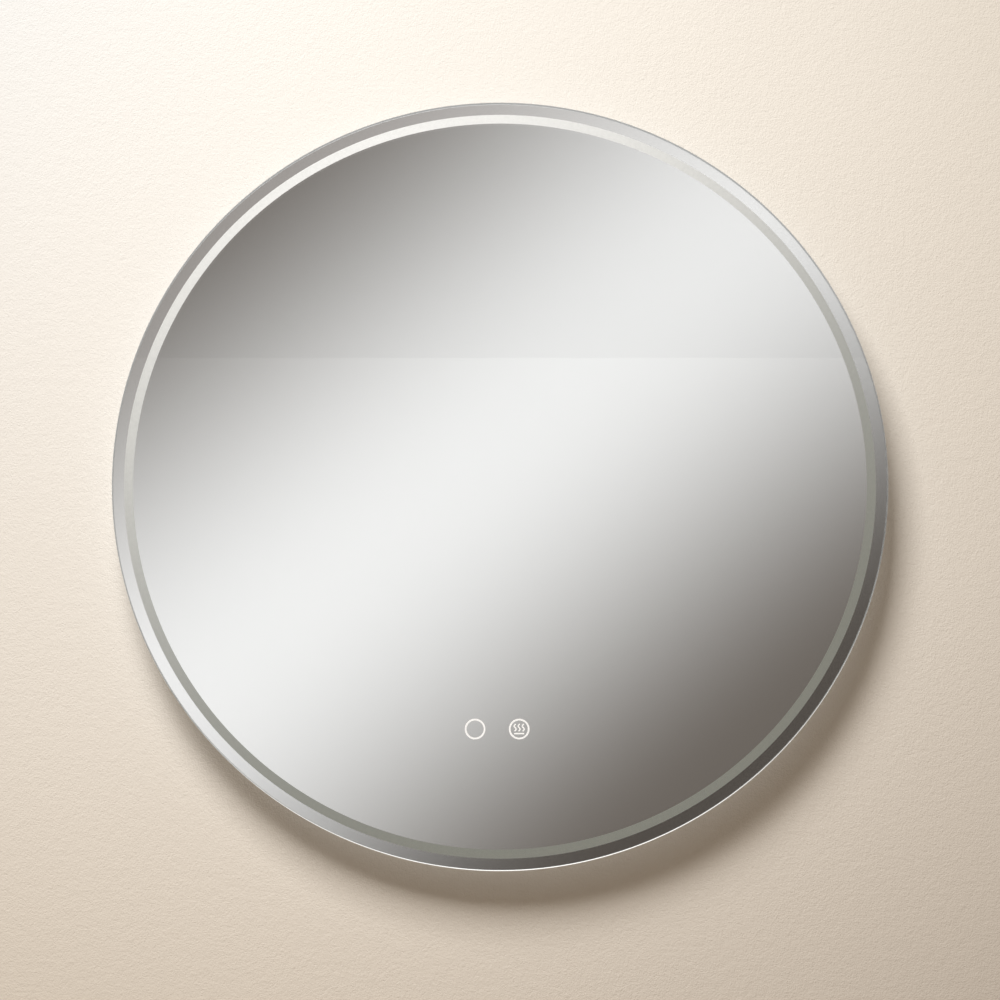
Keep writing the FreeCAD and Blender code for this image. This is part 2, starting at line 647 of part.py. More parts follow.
def driver_case():
    """A tray with a rib at each end for the board."""
    mouth = DEPTH_DRIVER + DRIVER_D
    case = tray(DRIVER_L, DRIVER_H, mouth, DEPTH_DRIVER, DRIVER_WALL, 0, DRIVER_Z, DRIVER_CORNER)
    floor = DEPTH_DRIVER + DRIVER_WALL
    rib_x = DRIVER_L / 2 - DRIVER_WALL - BOARD_RIB / 2
    rib_h = DRIVER_H - 2 * DRIVER_CORNER
    top = floor + BOARD_STANDOFF
    ribs = [block(BOARD_RIB, rib_h, floor, top, side * rib_x, DRIVER_Z) for side in (-1, 1)]
    return case.fuse(ribs).removeSplitter()


def driver_lid():
    depth = DEPTH_DRIVER + DRIVER_D
    return block(DRIVER_L, DRIVER_H, depth, depth + DRIVER_LID_T, 0, DRIVER_Z, DRIVER_CORNER)


def driver_board():
    inset = 2 * (DRIVER_WALL + BOARD_PLAY)
    back = DEPTH_DRIVER + DRIVER_WALL + BOARD_STANDOFF
    return block(DRIVER_L - inset, DRIVER_H - inset, back, back + BOARD_T, 0, DRIVER_Z)


def driver_components():
    """Transformer, choke and smoothing capacitor on the driver's board."""
    base = DEPTH_DRIVER + DRIVER_WALL + BOARD_STANDOFF + BOARD_T
    width, height, stand = TRANSFORMER
    transformer = block(width, height, base, base + stand, 0, DRIVER_Z)
    width, height, stand = CHOKE
    choke = block(width, height, base, base + stand, CHOKE_X, DRIVER_Z)
    start = at(CAPACITOR_X, base + CAPACITOR_R, DRIVER_Z)
    capacitor = Part.makeCylinder(CAPACITOR_R, CAPACITOR_L, start, V(1, 0, 0))
    return grouped([transformer, choke, capacitor])


# ---------------------------------------------------------------- touch sensors
def touch_tapes():
    return grouped([block(TOUCH_W - 2 * TOUCH_TAPE_MARGIN, TOUCH_H - 2 * TOUCH_TAPE_MARGIN,
                          TOUCH_FRONT, DEPTH_COATING, x, ICON_Z) for x in ICON_XS])


def touch_case(x):
    """A tray stuck to the back of the glass, open towards the wall."""
    return tray(TOUCH_W, TOUCH_H, TOUCH_BACK + TOUCH_WALL, TOUCH_FRONT, TOUCH_WALL, x, ICON_Z, 0)


def touch_lid(x):
    return block(TOUCH_W, TOUCH_H, TOUCH_BACK, TOUCH_BACK + TOUCH_WALL, x, ICON_Z)


def touch_board(x):
    inset = 2 * (TOUCH_WALL + BOARD_PLAY)
    front = TOUCH_FRONT - TOUCH_WALL
    return block(TOUCH_W - inset, TOUCH_H - inset, front - BOARD_T, front, x, ICON_Z)


# ---------------------------------------------------------------- demister
def demister_pad():
    return block(PAD_W, PAD_H, DEPTH_COATING - PAD_T, DEPTH_COATING, 0, 0, PAD_CORNER)


def demister_track():
    """One foil track that runs to and fro across the pad."""
    depth = DEPTH_COATING - PAD_T - TRACK_T
    half = PAD_W / 2 - TRACK_MARGIN
    rows = int((PAD_H - 2 * TRACK_MARGIN) // TRACK_PITCH) + 1
    first = -(rows - 1) * TRACK_PITCH / 2
    track = None
    for i in range(rows):
        z = first + i * TRACK_PITCH
        row = block(2 * half, TRACK_W, depth, depth + TRACK_T, 0, z)
        track = row if track is None else track.fuse(row)
        if i > 0:
            side = 1 if i % 2 else -1
            x = side * (half - TRACK_W / 2)
            turn = block(TRACK_W, TRACK_PITCH + TRACK_W, depth, depth + TRACK_T, x, z - TRACK_PITCH / 2)
            track = track.fuse(turn)
    return track.removeSplitter()


# ---------------------------------------------------------------- leads, clips and earth point
def mains_link_lead():
    """From the terminal box up into the driver."""
    driver_bottom = DRIVER_Z - DRIVER_H / 2
    return flat_lead([at(MAINS_LEAD_X, DEPTH_LEAD, BOX_TOP), at(MAINS_LEAD_X, DEPTH_LEAD, driver_bottom)],
                     V(1, 0, 0))


def led_lead_route():
    """From the end of the driver along the cover, then forward to the start of the light tape."""
    tape_middle = DEPTH_TAPE + TAPE_W / 2
    bend_x = FEED_X - LEAD_STRAIGHT
    climb = tape_middle - DEPTH_LEAD
    return [at(DRIVER_L / 2, DEPTH_LEAD, FEED_Z), at(bend_x - climb, DEPTH_LEAD, FEED_Z),
            at(bend_x, tape_middle, FEED_Z), at(FEED_X, tape_middle, FEED_Z)]


def led_lead():
    return flat_lead(led_lead_route(), V(0, 0, 1))


def demister_lead():
    """From the terminal box's end to the terminals on the back of the pad."""
    pad = DEPTH_COATING - PAD_T - TRACK_T - LEAD_PLAY - LEAD_T / 2
    middle = (DEPTH_LEAD + pad) / 2
    box_end = -BOX_L / 2
    route = [at(box_end, middle, BOX_Z), at(box_end - LEAD_STRAIGHT, middle, BOX_Z),
             at(PAD_TERMINAL_X + LEAD_STRAIGHT, pad, BOX_Z), at(PAD_TERMINAL_X, pad, BOX_Z)]
    return flat_lead(route, V(0, 0, 1))


def touch_lead(x):
    """From the top of a sensor case back to the cover, and up it to the terminal box."""
    top = ICON_Z + TOUCH_H / 2
    inside = TOUCH_BACK + TOUCH_WALL + LEAD_T
    drop = inside - DEPTH_LEAD
    bend_z = top + LEAD_STRAIGHT
    route = [at(x, inside, top), at(x, inside, bend_z),
             at(x, DEPTH_LEAD, bend_z + drop), at(x, DEPTH_LEAD, BOX_BOTTOM)]
    return flat_lead(route, V(1, 0, 0))


def earth_lead():
    """From the terminal box's end to the ring terminal on the earth stud."""
    ring_top = EARTH_Z + RING_R
    z = ring_top + LEAD_STRAIGHT
    route = [at(BOX_L / 2, DEPTH_LEAD, z), at(EARTH_X, DEPTH_LEAD, z), at(EARTH_X, DEPTH_LEAD, ring_top)]
    return flat_lead(route, V(0, 0, 1))


def earth_ring_terminal():
    """An eyelet round the stud."""
    ring = peg(RING_R, DEPTH_COVER_IN, DEPTH_COVER_IN + RING_T, EARTH_X, EARTH_Z)
    hole = peg(STUD_R + RING_PLAY, DEPTH_COVER_OUT, DEPTH_COVER_IN + 2 * RING_T, EARTH_X, EARTH_Z)
    return ring.cut(hole)


def earth_stud():
    """A stud welded to the inside of the cover."""
    return peg(STUD_R, DEPTH_COVER_IN, DEPTH_COVER_IN + STUD_L, EARTH_X, EARTH_Z)


def earth_nut():
    """A hexagon nut that holds the eyelet down."""
    seat = DEPTH_COVER_IN + RING_T
    corner_r = NUT_AF / 2 / math.cos(math.radians(30))
    points = []
    for i in range(6):
        angle = math.radians(60 * i)
        points.append(at(EARTH_X + corner_r * math.cos(angle), seat, EARTH_Z + corner_r * math.sin(angle)))
    nut = Part.Face(Part.makePolygon(points + points[:1])).extrude(OUT * NUT_T)
    return nut.cut(peg(STUD_R + SCREW_BITE_PLAY, seat - NUT_T, seat + 2 * NUT_T, EARTH_X, EARTH_Z))


def lead_clip(x, z, along_x):
    """A saddle stuck to the cover over a lead."""
    height = 2 * LEAD_PLAY + LEAD_T
    across = LEAD_W + 2 * LEAD_PLAY
    feet = across + 2 * (CLIP_WALL + CLIP_FOOT)
    arch = across + 2 * CLIP_WALL
    width, length = (CLIP_L, feet) if along_x else (feet, CLIP_L)
    base = block(width, length, DEPTH_COVER_IN, DEPTH_COVER_IN + CLIP_WALL, x, z)
    width, length = (CLIP_L, arch) if along_x else (arch, CLIP_L)
    roof = block(width, length, DEPTH_COVER_IN, DEPTH_COVER_IN + height + CLIP_WALL, x, z)
    width, length = (2 * CLIP_L, across) if along_x else (across, 2 * CLIP_L)
    tunnel = block(width, length, DEPTH_COVER_IN, DEPTH_COVER_IN + height, x, z)
    return base.fuse(roof).cut(tunnel).removeSplitter()


def lead_clips():
    start, end = led_lead_route()[:2]
    clips = [lead_clip(start.x + share * (end.x - start.x), FEED_Z, True) for share in LED_CLIPS]
    sensor_top = ICON_Z + TOUCH_H / 2
    run = BOX_BOTTOM - sensor_top
    clips += [lead_clip(x, sensor_top + share * run, False) for x in ICON_XS for share in TOUCH_CLIPS]
    return grouped(clips)


# ---------------------------------------------------------------- the whole mirror
light_x, heat_x = ICON_XS
PARTS = {
    "wall_rail": wall_rail(),
    "mirror_glass": mirror_glass(),
    "mirror_coating": mirror_coating(),
    "bond_tape": bond_tape(),
    "diffuser_ring": diffuser_ring(),
    "led_tape": led_tape(),
    "led_chips": led_chips(),
    "chassis_ring": chassis_ring(),
    "chassis_joiner": chassis_joiner(),
    "joiner_rivets": joiner_rivets(),
    "back_cover": back_cover(),
    "cover_screws": cover_screws(),
    "hanger_rail": hanger_rail(),
    "bumper_pads": bumper_pads(),
    "cable_grommet": cable_grommet(),
    "cord_clamp": cord_clamp(),
    "terminal_box": terminal_box(),
    "terminal_block": terminal_block(),
    "access_lid": access_lid(),
    "lid_screws": lid_screws(),
    "driver_tapes": driver_tapes(),
    "driver_case": driver_case(),
    "driver_lid": driver_lid(),
    "driver_board": driver_board(),
    "driver_components": driver_components(),
    "touch_tapes": touch_tapes(),
    "light_touch_case": touch_case(light_x),
    "light_touch_lid": touch_lid(light_x),
    "light_touch_board": touch_board(light_x),
    "heat_touch_case": touch_case(heat_x),
    "heat_touch_lid": touch_lid(heat_x),
    "heat_touch_board": touch_board(heat_x),
    "demister_pad": demister_pad(),
    "demister_track": demister_track(),
    "mains_link_lead": mains_link_lead(),
    "led_lead": led_lead(),
    "demister_lead": demister_lead(),
    "light_touch_lead": touch_lead(light_x),
    "heat_touch_lead": touch_lead(heat_x),
    "lead_clips": lead_clips(),
    "earth_lead": earth_lead(),
    "earth_ring_terminal": earth_ring_terminal(),
    "earth_stud": earth_stud(),
    "earth_nut": earth_nut(),
}

os.makedirs("parts", exist_ok=True)
for name, shape in PARTS.items():
    shape.exportStep(os.path.join("parts", name + ".step"))
    print(name, len(shape.Solids), shape.isValid(), round(shape.Volume, 1))
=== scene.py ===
import math
import bmesh
import bpy
import numpy as np
from bpy.props import FloatProperty, FloatVectorProperty, IntProperty, PointerProperty
from bpy.types import Operator, Panel, PropertyGroup
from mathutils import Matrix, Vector


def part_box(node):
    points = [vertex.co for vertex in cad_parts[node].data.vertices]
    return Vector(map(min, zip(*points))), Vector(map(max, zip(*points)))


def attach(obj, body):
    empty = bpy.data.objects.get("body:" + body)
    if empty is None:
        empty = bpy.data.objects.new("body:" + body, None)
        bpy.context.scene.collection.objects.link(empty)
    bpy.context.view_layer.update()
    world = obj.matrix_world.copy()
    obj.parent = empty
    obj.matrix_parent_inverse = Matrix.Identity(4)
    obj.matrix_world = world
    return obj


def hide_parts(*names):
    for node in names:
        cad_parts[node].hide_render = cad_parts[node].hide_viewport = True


bl_info = {
    "name": "Lighted Bathroom Mirror",
    "version": (1, 0, 0),
    "blender": (4, 5, 0),
    "location": "View3D > Sidebar > Mirror",
    "description": "Dresses a round lighted bathroom mirror: glass, silver, etched ring, icons and back",
    "category": "Add Mesh",
}

# Metres, +Z up. The wall is the plane y = 0 and the glass faces -Y, so +X is on the viewer's right.
# "Depth" is the distance from the wall, and "radius" the distance from the mirror's axis.
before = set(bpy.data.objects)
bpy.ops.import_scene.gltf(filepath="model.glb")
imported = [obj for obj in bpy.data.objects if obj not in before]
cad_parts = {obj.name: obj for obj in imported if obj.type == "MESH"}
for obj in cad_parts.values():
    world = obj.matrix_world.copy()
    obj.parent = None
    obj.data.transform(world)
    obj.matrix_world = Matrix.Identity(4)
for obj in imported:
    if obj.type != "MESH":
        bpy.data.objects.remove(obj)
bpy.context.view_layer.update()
MM = 0.001


def node_points(node):
    """All vertices of a node of the frame, as an array."""
    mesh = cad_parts[node].data
    points = np.empty(len(mesh.vertices) * 3, np.float32)
    mesh.vertices.foreach_get("co", points)
    return points.reshape(-1, 3).astype(float)


def depth_range(node):
    """The node's nearest and farthest distance from the wall."""
    low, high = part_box(node)
    return -high.y, -low.y


def radii(node):
    """Every radius at which the node has vertices, to a hundredth of a millimetre."""
    points = node_points(node)
    return np.unique(np.round(np.hypot(points[:, 0], points[:, 2]), 5))


def middle(node):
    low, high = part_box(node)
    return (low + high) / 2


GLASS_BACK, GLASS_FRONT = depth_range("mirror_glass")
ARRIS_R, GLASS_R = [float(r) for r in radii("mirror_glass")[-2:]]
COATING_FRONT = depth_range("mirror_coating")[1]
COATING_RADII = [r for r in radii("mirror_coating") if r > 0.5 * GLASS_R]
ETCHED_IN, ETCHED_OUT, COATING_R = COATING_RADII[0], COATING_RADII[1], COATING_RADII[-1]
COVER_BACK_FACE = depth_range("hanger_rail")[1]

# Measures of small forms that the frame doesn't have, or that it doesn't give by itself
HALF_SLIT = 0.4 * MM        # half the gap between the hoop's ends
OPEN_TURN = 359.999         # degrees of a turn that stops just short of closing on itself
STRIP_THICKNESS = 1.5 * MM  # of the hanger
WELD_DROP = 11 * MM         # from the hanger's top edge to its row of welds
WELD_INSET = 15 * MM        # from the hanger's ends to the first and the last weld
WELD_RIM = 0.12 * MM        # height of a weld's raised rim above its dish
WELD_PROUD = 0.02 * MM      # height of the dish above the strip
WELD_ROOT = 0.05 * MM       # depth of a weld in the strip
HEAD_R = 3.6 * MM           # a screw's head
HEAD_H = 2.2 * MM
SHANK_R = 1.75 * MM
DOME_SHARE = 0.45           # of the head's height that is domed
RECESS_DEPTH = 1.2 * MM
BLADE_FADE = 0.12 * MM      # width of the slope at the side of a recess's blade
REACH_FADE = 0.25 * MM      # and at its end
SCREW_SPREAD = 12 * MM      # vertices this near to each other belong to one screw


# ---------------------------------------------------------------- sizes and colours that a user would change
def amount(name, description, value, **kind):
    """A setting that isn't below zero."""
    return FloatProperty(name=name, description=description, default=value, min=0, **kind)


def length(name, description, value):
    """A setting in metres."""
    return amount(name, description, value, subtype="DISTANCE", unit="LENGTH")


def tilt(name, description, degrees):
    return FloatProperty(name=name, description=description, default=math.radians(degrees), subtype="ANGLE",
                         unit="ROTATION")


def colour(name, description, value):
    return FloatVectorProperty(name=name, description=description, default=value, size=3, min=0, max=1,
                               subtype="COLOR")


def spot(name, description, value):
    """A setting for a place in metres."""
    return FloatVectorProperty(name=name, description=description, default=value, size=3,
                               subtype="TRANSLATION", unit="LENGTH")


class MirrorSizes(PropertyGroup):
    film_inset: length("Film inset", "Air on each side of the silver film", 0.01 * MM)
    film: length("Film", "Thickness that the silver film is drawn with", 0.02 * MM)
    film_margin: length("Film margin", "Backing left bare outside the silver", 0.15 * MM)
    prism_slope: tilt("Prism slope", "Slope of the fine prisms in the light ring", 61)
    rim_haze: amount("Rim haze", "Most of the rim's light that is scattered", 0.22, max=1, subtype="FACTOR")
    front_corner: length("Front corner", "Polished corner on the front of the pane", 0.4 * MM)
    # Strength of a painted glow along the pane's lower edge.
    edge_painted_glow: amount("Edge glow", "Light that the pane carries out through its lower edge", 0.85)
    # Strength of a painted glow that lifts the whole light ring, its shaded side too.
    ring_painted_glow: amount("Ring glow", "Light that the ring scatters from inside the glass", 0.157)
    # Strength of a painted glow on the icons.
    icon_painted_glow: amount("Icon glow", "Light that the icons give off", 0.28)
    icon_radius: length("Icon radius", "Outside of an icon's ring", 7.9 * MM)
    icon_line: length("Icon line", "Width of an icon's ring", 1.3 * MM)
    wave_line: length("Wave line", "Width of the waves", 0.95 * MM)
    wave_height: length("Wave height", "Height of a wave", 5.6 * MM)
    wave_swing: length("Wave swing", "Sideways swing of a wave", 0.75 * MM)
    wave_turns: amount("Wave turns", "Turns of the sine that a wave follows", 1.2)
    wave_pitch: length("Wave pitch", "From one wave to the next", 3.1 * MM)
    wave_rise: length("Wave rise", "The waves' middle above the icon's middle", 1.1 * MM)
    bar_drop: length("Bar drop", "The bar below the icon's middle", 3.5 * MM)
    bar_length: length("Bar length", "Length of the bar", 7.7 * MM)
    bar_line: amount("Bar line", "Width of the bar, in widths of a wave", 1.15)
    recess_width: length("Recess width", "Half the width of a cross recess's blade", 0.55 * MM)
    recess_reach: length("Recess reach", "Radius of a cross recess", 2.1 * MM)
    sheet_edge: length("Sheet edge", "Rounding of the sheet metal's edges", 0.15 * MM)
    rivet_edge: length("Rivet edge", "Rounding of the rivets' heads", 0.25 * MM)
    rubber_edge: length("Rubber edge", "Rounding of the rubber parts' edges", 0.6 * MM)
    weld_radius: length("Weld radius", "Radius of a spot weld", 3.0 * MM)
    weld_count: IntProperty(name="Welds", description="Spot welds along the hanger", default=8, min=0)


class MirrorColours(PropertyGroup):
    silver: colour("Silver", "What the silver film reflects", (0.93, 0.93, 0.925))
    glass: colour("Glass", "Tint of the pane", (0.992, 0.996, 0.993))
    etched: colour("Etched ring", "Satin white of the light ring", (0.770, 0.750, 0.744))
    glass_edge: colour("Glass edge", "Polished corners and edge of the pane", (0.73, 0.735, 0.72))
    icon: colour("Icons", "White of the icons", (0.93, 0.93, 0.92))
    backing: colour("Backing paint", "Paint behind the silver", (0.23, 0.25, 0.24))
    cover: colour("Cover", "Powder coat of the back cover", (0.80, 0.80, 0.79))
    aluminium: colour("Hoop", "Anodised aluminium", (0.80, 0.81, 0.82))
    zinc: colour("Zinc", "Zinc plating of the rails and screws", (0.70, 0.72, 0.73))
    rubber: colour("Rubber", "Bumpers and grommet", (0.035, 0.035, 0.037))
    wall: colour("Wall", "Plaster behind the mirror", (0.934, 0.879, 0.801))
    even_light: colour("Even light", "The light that comes from all round", (1.0, 0.797, 0.593))
    backdrop: colour("Backdrop", "What the camera sees past the wall", (0.86, 0.84, 0.81))


class StudioSettings(PropertyGroup):
    camera_distance: length("Camera distance", "From the mirror to the camera", 3.0)
    camera_tilt: tilt("Camera tilt", "How far the camera looks up", 8.2)
    frame_width: length("Frame width", "Width of the picture at the mirror", 0.7718)
    aim_drop: length("Aim drop", "The picture's middle below the mirror's", 14.8 * MM)
    key_place: spot("Key place", "Where the key lamp stands", (-0.605, -1.61, 1.455))
    key_power: amount("Key power", "Power of the key lamp", 54.6, unit="POWER")
    key_size: length("Key size", "Side of the key lamp", 1.13)
    fill: amount("Fill", "Strength of the even light all round", 0.225)
    back_place: spot("Back place", "Where the lamp behind the mirror stands", (-1.4, 1.8, 1.2))
    back_power: amount("Back power", "Power of the lamp behind the mirror", 62.0, unit="POWER")
    back_size: length("Back size", "Side of the lamp behind the mirror", 1.2)


# ---------------------------------------------------------------- surfaces
UP = np.array([0.0, 0.0, 1.0])
RIGHT = np.array([1.0, 0.0, 0.0])
OUT = np.array([0.0, -1.0, 0.0])


def carried(profile, centres, first_axis, second_axis, closed):
    """A closed profile carried along a path of stations.

    Vertex = centre of the station + first coordinate x first axis + second coordinate x second axis.
    The profile is (corners, 2), or (stations, corners, 2) where it changes on the way."""
    profile = np.asarray(profile, float)
    if profile.ndim == 2:
        profile = profile[None]
    centres = np.asarray(centres, float)
    points = (centres[:, None, :] + profile[..., :1] * first_axis[:, None, :]
              + profile[..., 1:] * second_axis[:, None, :])
    stations, corners = points.shape[:2]
    i = np.arange(stations if closed else stations - 1)[:, None]
    j = np.arange(corners)[None, :]
    next_i, next_j = (i + 1) % stations, (j + 1) % corners
    this, following = i * corners, next_i * corners
    quads = np.stack([this + j, this + next_j, following + next_j, following + j], -1)
    faces = quads.reshape(-1, 4).tolist()
    if not closed:
        faces.append(list(range(corners))[::-1])
        faces.append(list(range((stations - 1) * corners, stations * corners)))
    return points.reshape(-1, 3), faces


def turned(profile, centre=(0.0, 0.0, 0.0), axis=OUT, segments=64, start=0.0, sweep=360.0):
    """A profile of (radius, distance along the axis) turned about an axis through the centre.

    The angle runs evenly from start through sweep, in degrees, and a full turn closes on itself."""
    full = sweep >= 360.0
    steps = segments if full else segments + 1
    angles = np.radians(start + sweep * np.arange(steps) / segments)[:, None]
    side = UP if abs(axis[2]) < 0.9 else RIGHT
    second = side - axis * side.dot(axis)
    second = second / np.linalg.norm(second)
    first = np.cross(second, axis)
    outward = np.cos(angles) * first + np.sin(angles) * second
    centres = np.repeat(np.array([centre], float), steps, 0)
    return carried(profile, centres, outward, np.repeat(axis[None], steps, 0), full)


def strip(path, width, low, high):
    """A flat strip of this width along a path of (x, z) points, from one depth to another.

    The width is laid across the path, square to its direction at each point."""
    path = np.asarray(path, float)
    along = np.gradient(path, axis=0)
    along /= np.linalg.norm(along, axis=1)[:, None]
    across = np.stack([-along[:, 1], np.zeros(len(path)), along[:, 0]], 1)
    centres = np.stack([path[:, 0], np.zeros(len(path)), path[:, 1]], 1)
    half = width / 2
    profile = [(-half, low), (half, low), (half, high), (-half, high)]
    return carried(profile, centres, across, np.repeat(OUT[None], len(path), 0), False)


def joined(parts):
    """Several (vertices, faces) pairs as one."""
    points, faces, first = [], [], 0
    for some_points, some_faces in parts:
        points.append(some_points)
        faces += [[corner + first for corner in face] for face in some_faces]
        first += len(some_points)
    return np.concatenate(points), faces


def finish_mesh(mesh, crease):
    """Merge doubles, turn the faces outwards and smooth all edges below the crease angle."""
    work = bmesh.new()
    work.from_mesh(mesh)
    bmesh.ops.remove_doubles(work, verts=work.verts, dist=1e-7)
    bmesh.ops.dissolve_degenerate(work, edges=work.edges, dist=1e-8)
    bmesh.ops.recalc_face_normals(work, faces=work.faces)
    work.to_mesh(mesh)
    work.free()
    mesh.shade_smooth()
    mesh.set_sharp_from_angle(angle=math.radians(crease))
    mesh.update()


def piece(name, shape, material, body="mirror", crease=30.0):
    """A piece of the object from (vertices, faces), with its finish, slot and body."""
    mesh = bpy.data.meshes.new(name)
    points, faces = shape
    mesh.from_pydata(points.tolist(), [], faces)
    finish_mesh(mesh, crease)
    mesh.materials.append(material)
    thing = bpy.data.objects.new(name, mesh)
    bpy.context.scene.collection.objects.link(thing)
    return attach(thing, body)


def smoothed(name, node, material, edge, body="mirror"):
    """A copy of a frame node with its doubles merged, its round faces smooth and its edges rounded."""
    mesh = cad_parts[node].data.copy()
    mesh.name = name
    mesh.materials.clear()
    finish_mesh(mesh, 30.0)
    mesh.materials.append(material)
    thing = bpy.data.objects.new(name, mesh)
    bpy.context.scene.collection.objects.link(thing)
    if edge > 0:
        rounding = thing.modifiers.new("Rounded edges", "BEVEL")
        rounding.width = edge
        rounding.segments = 2
        rounding.limit_method = "ANGLE"
        rounding.angle_limit = math.radians(40)
        rounding.harden_normals = True
    weighted = thing.modifiers.new("Flat faces stay flat", "WEIGHTED_NORMAL")
    weighted.mode = "FACE_AREA"
    weighted.keep_sharp = True
    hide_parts(node)
    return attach(thing, body)


# ---------------------------------------------------------------- how light falls and what the mirror shows
# Directions round the mirror run from +X towards +Z, and spreads are cosines of the angle from them.
LAMP_SIDE = math.radians(112.5)         # the side that the lamp is on
PAINTED_HAZE_SPREAD = (-0.6, 1.0)               # where the rim's haze, painted stronger towards the lamp, starts and where it is full
RIM_PAINTED_LIGHT_SIDE = math.radians(126)          # the side where the rim's painted light is brightest
RIM_PAINTED_TONES = (0.53, 1.075)               # painted shade and light: its darkest and its brightest, in shares of the silver
RIM_PAINTED_SPREAD = (-1.0, 0.17)               # where the painted shade is darkest and where it reaches its brightest
PAINTED_GLOW_SIDE = math.radians(277)           # the side of the pane's edge that gets a painted glow
PAINTED_GLOW_SPREAD = (0.45, 1.0)               # where that painted glow starts and where it is full
EDGE_CLEAR = 0.85                       # share of what is behind the edge that shows through it
CLEAR_SPREAD = (-0.5, 0.1)              # where the edge starts to be clear and where it is full
EDGE_PAINTED_GLOW_TINT = (1.0, 0.98, 0.95)
RING_PAINTED_GLOW_TINT = (0.88, 1.0, 0.90)
ICON_PAINTED_GLOW_TINT = (1.0, 0.99, 0.97)

WALL_HALF = 3.0                         # half the side of the wall
WALL_SETBACK = 0.2 * MM                 # of the wall behind the rail, so that they don't coincide
WALL_REACH = 0.5                        # how far from the middle the wall's painted shade goes on changing
WALL_SHADE_ACROSS = (-0.064, -0.089, -0.116)  # painted shade, darker towards the right: change of the wall's colour with x, for a metre
WALL_SHADE_UP = (0.003, 0.063, 0.119)         # painted light, lighter towards the top: with z, for a metre
WALL_SHADE_FALLOFF = (-0.464, -0.456, -0.437)    # painted shade, darker towards the corners: with x squared + z squared, for a square metre
WALL_SHADE_TWIST = (0.260, 0.169, 0.037)      # painted shade: and with x times z, for a square metre
PLASTER_GRAINS = ((950.0, 2.0), (420.0, 3.0), (130.0, 2.0))     # scale and detail of each layer of bumps
PLASTER_RELIEF = 0.35 * MM

STRIPE_ANGLE = math.radians(130)        # the way across the room's bright and dark bands, seen in the mirror
STRIPE_PERIOD = 0.2065                  # from one bright band to the next, in units of direction
STRIPE_PEAK = 0.122                     # where the bright band in front of the mirror lies
BAND_DARK = (0.165, 0.145, 0.128)
BAND_BRIGHT = (0.955, 0.95, 0.95)
HORIZON = 0.1816                        # height over distance of the line across the reflection
ABOVE_HORIZON = 0.945                   # brightness above it, as a share
VIEW_MIDDLE = (0.0, -0.99, 0.143)       # the middle of the bands
VIEW_SPREAD = (0.17, 0.30)              # how far from it they begin to fade, and where they end
ROOM_TONES = ((0.0, 0.80), (0.42, 0.62), (0.5, 0.30), (0.62, 0.55), (1.0, 0.78))    # floor to ceiling
ROOM_WARMTH = 0.98                      # the room's blue, as a share of its red and green


# ---------------------------------------------------------------- finishes
class Nodes:
    """A node tree under construction, and short ways to add nodes to it.

    Where a method takes an input, that is another node's output or a plain value."""

    def __init__(self, tree):
        self.tree = tree

    def wire(self, node, inputs):
        """Give a node these inputs, by number or name."""
        for key, value in inputs.items():
            if isinstance(value, bpy.types.NodeSocket):
                self.tree.links.new(value, node.inputs[key])
            else:
                node.inputs[key].default_value = value

    def node(self, kind, inputs=None, **settings):
        made = self.tree.nodes.new(kind)
        for key, value in settings.items():
            setattr(made, key, value)
        self.wire(made, inputs or {})
        return made

    def maths(self, operation, *inputs):
        return self.node("ShaderNodeMath", dict(enumerate(inputs)), operation=operation).outputs["Value"]

    def vector(self, operation, *inputs):
        """A vector, or the number that a dot product or a distance gives."""
        made = self.node("ShaderNodeVectorMath", dict(enumerate(inputs)), operation=operation)
        return made.outputs["Value" if operation in ("DOT_PRODUCT", "DISTANCE") else "Vector"]

    def scaled(self, value, share):
        """A vector or colour times a number."""
        made = self.node("ShaderNodeVectorMath", {0: value, "Scale": share}, operation="SCALE")
        return made.outputs["Vector"]

    def remap(self, value, low, high, start=0.3, end=0.7, **settings):
        """A number that runs from low to high while the value runs from start to end."""
        inputs = {"Value": value, "From Min": start, "From Max": end, "To Min": low, "To Max": high}
        return self.node("ShaderNodeMapRange", inputs, **settings).outputs["Result"]

    def mixed(self, share, first, second):
        """Two shaders, with this share of the second."""
        return self.node("ShaderNodeMixShader", {0: share, 1: first, 2: second}).outputs[0]

    def blended(self, share, first, second):
        """Two colours, with this share of the second."""
        inputs = {"Factor": share, "A": first, "B": second}
        return self.node("ShaderNodeMix", inputs, data_type="RGBA").outputs["Result"]


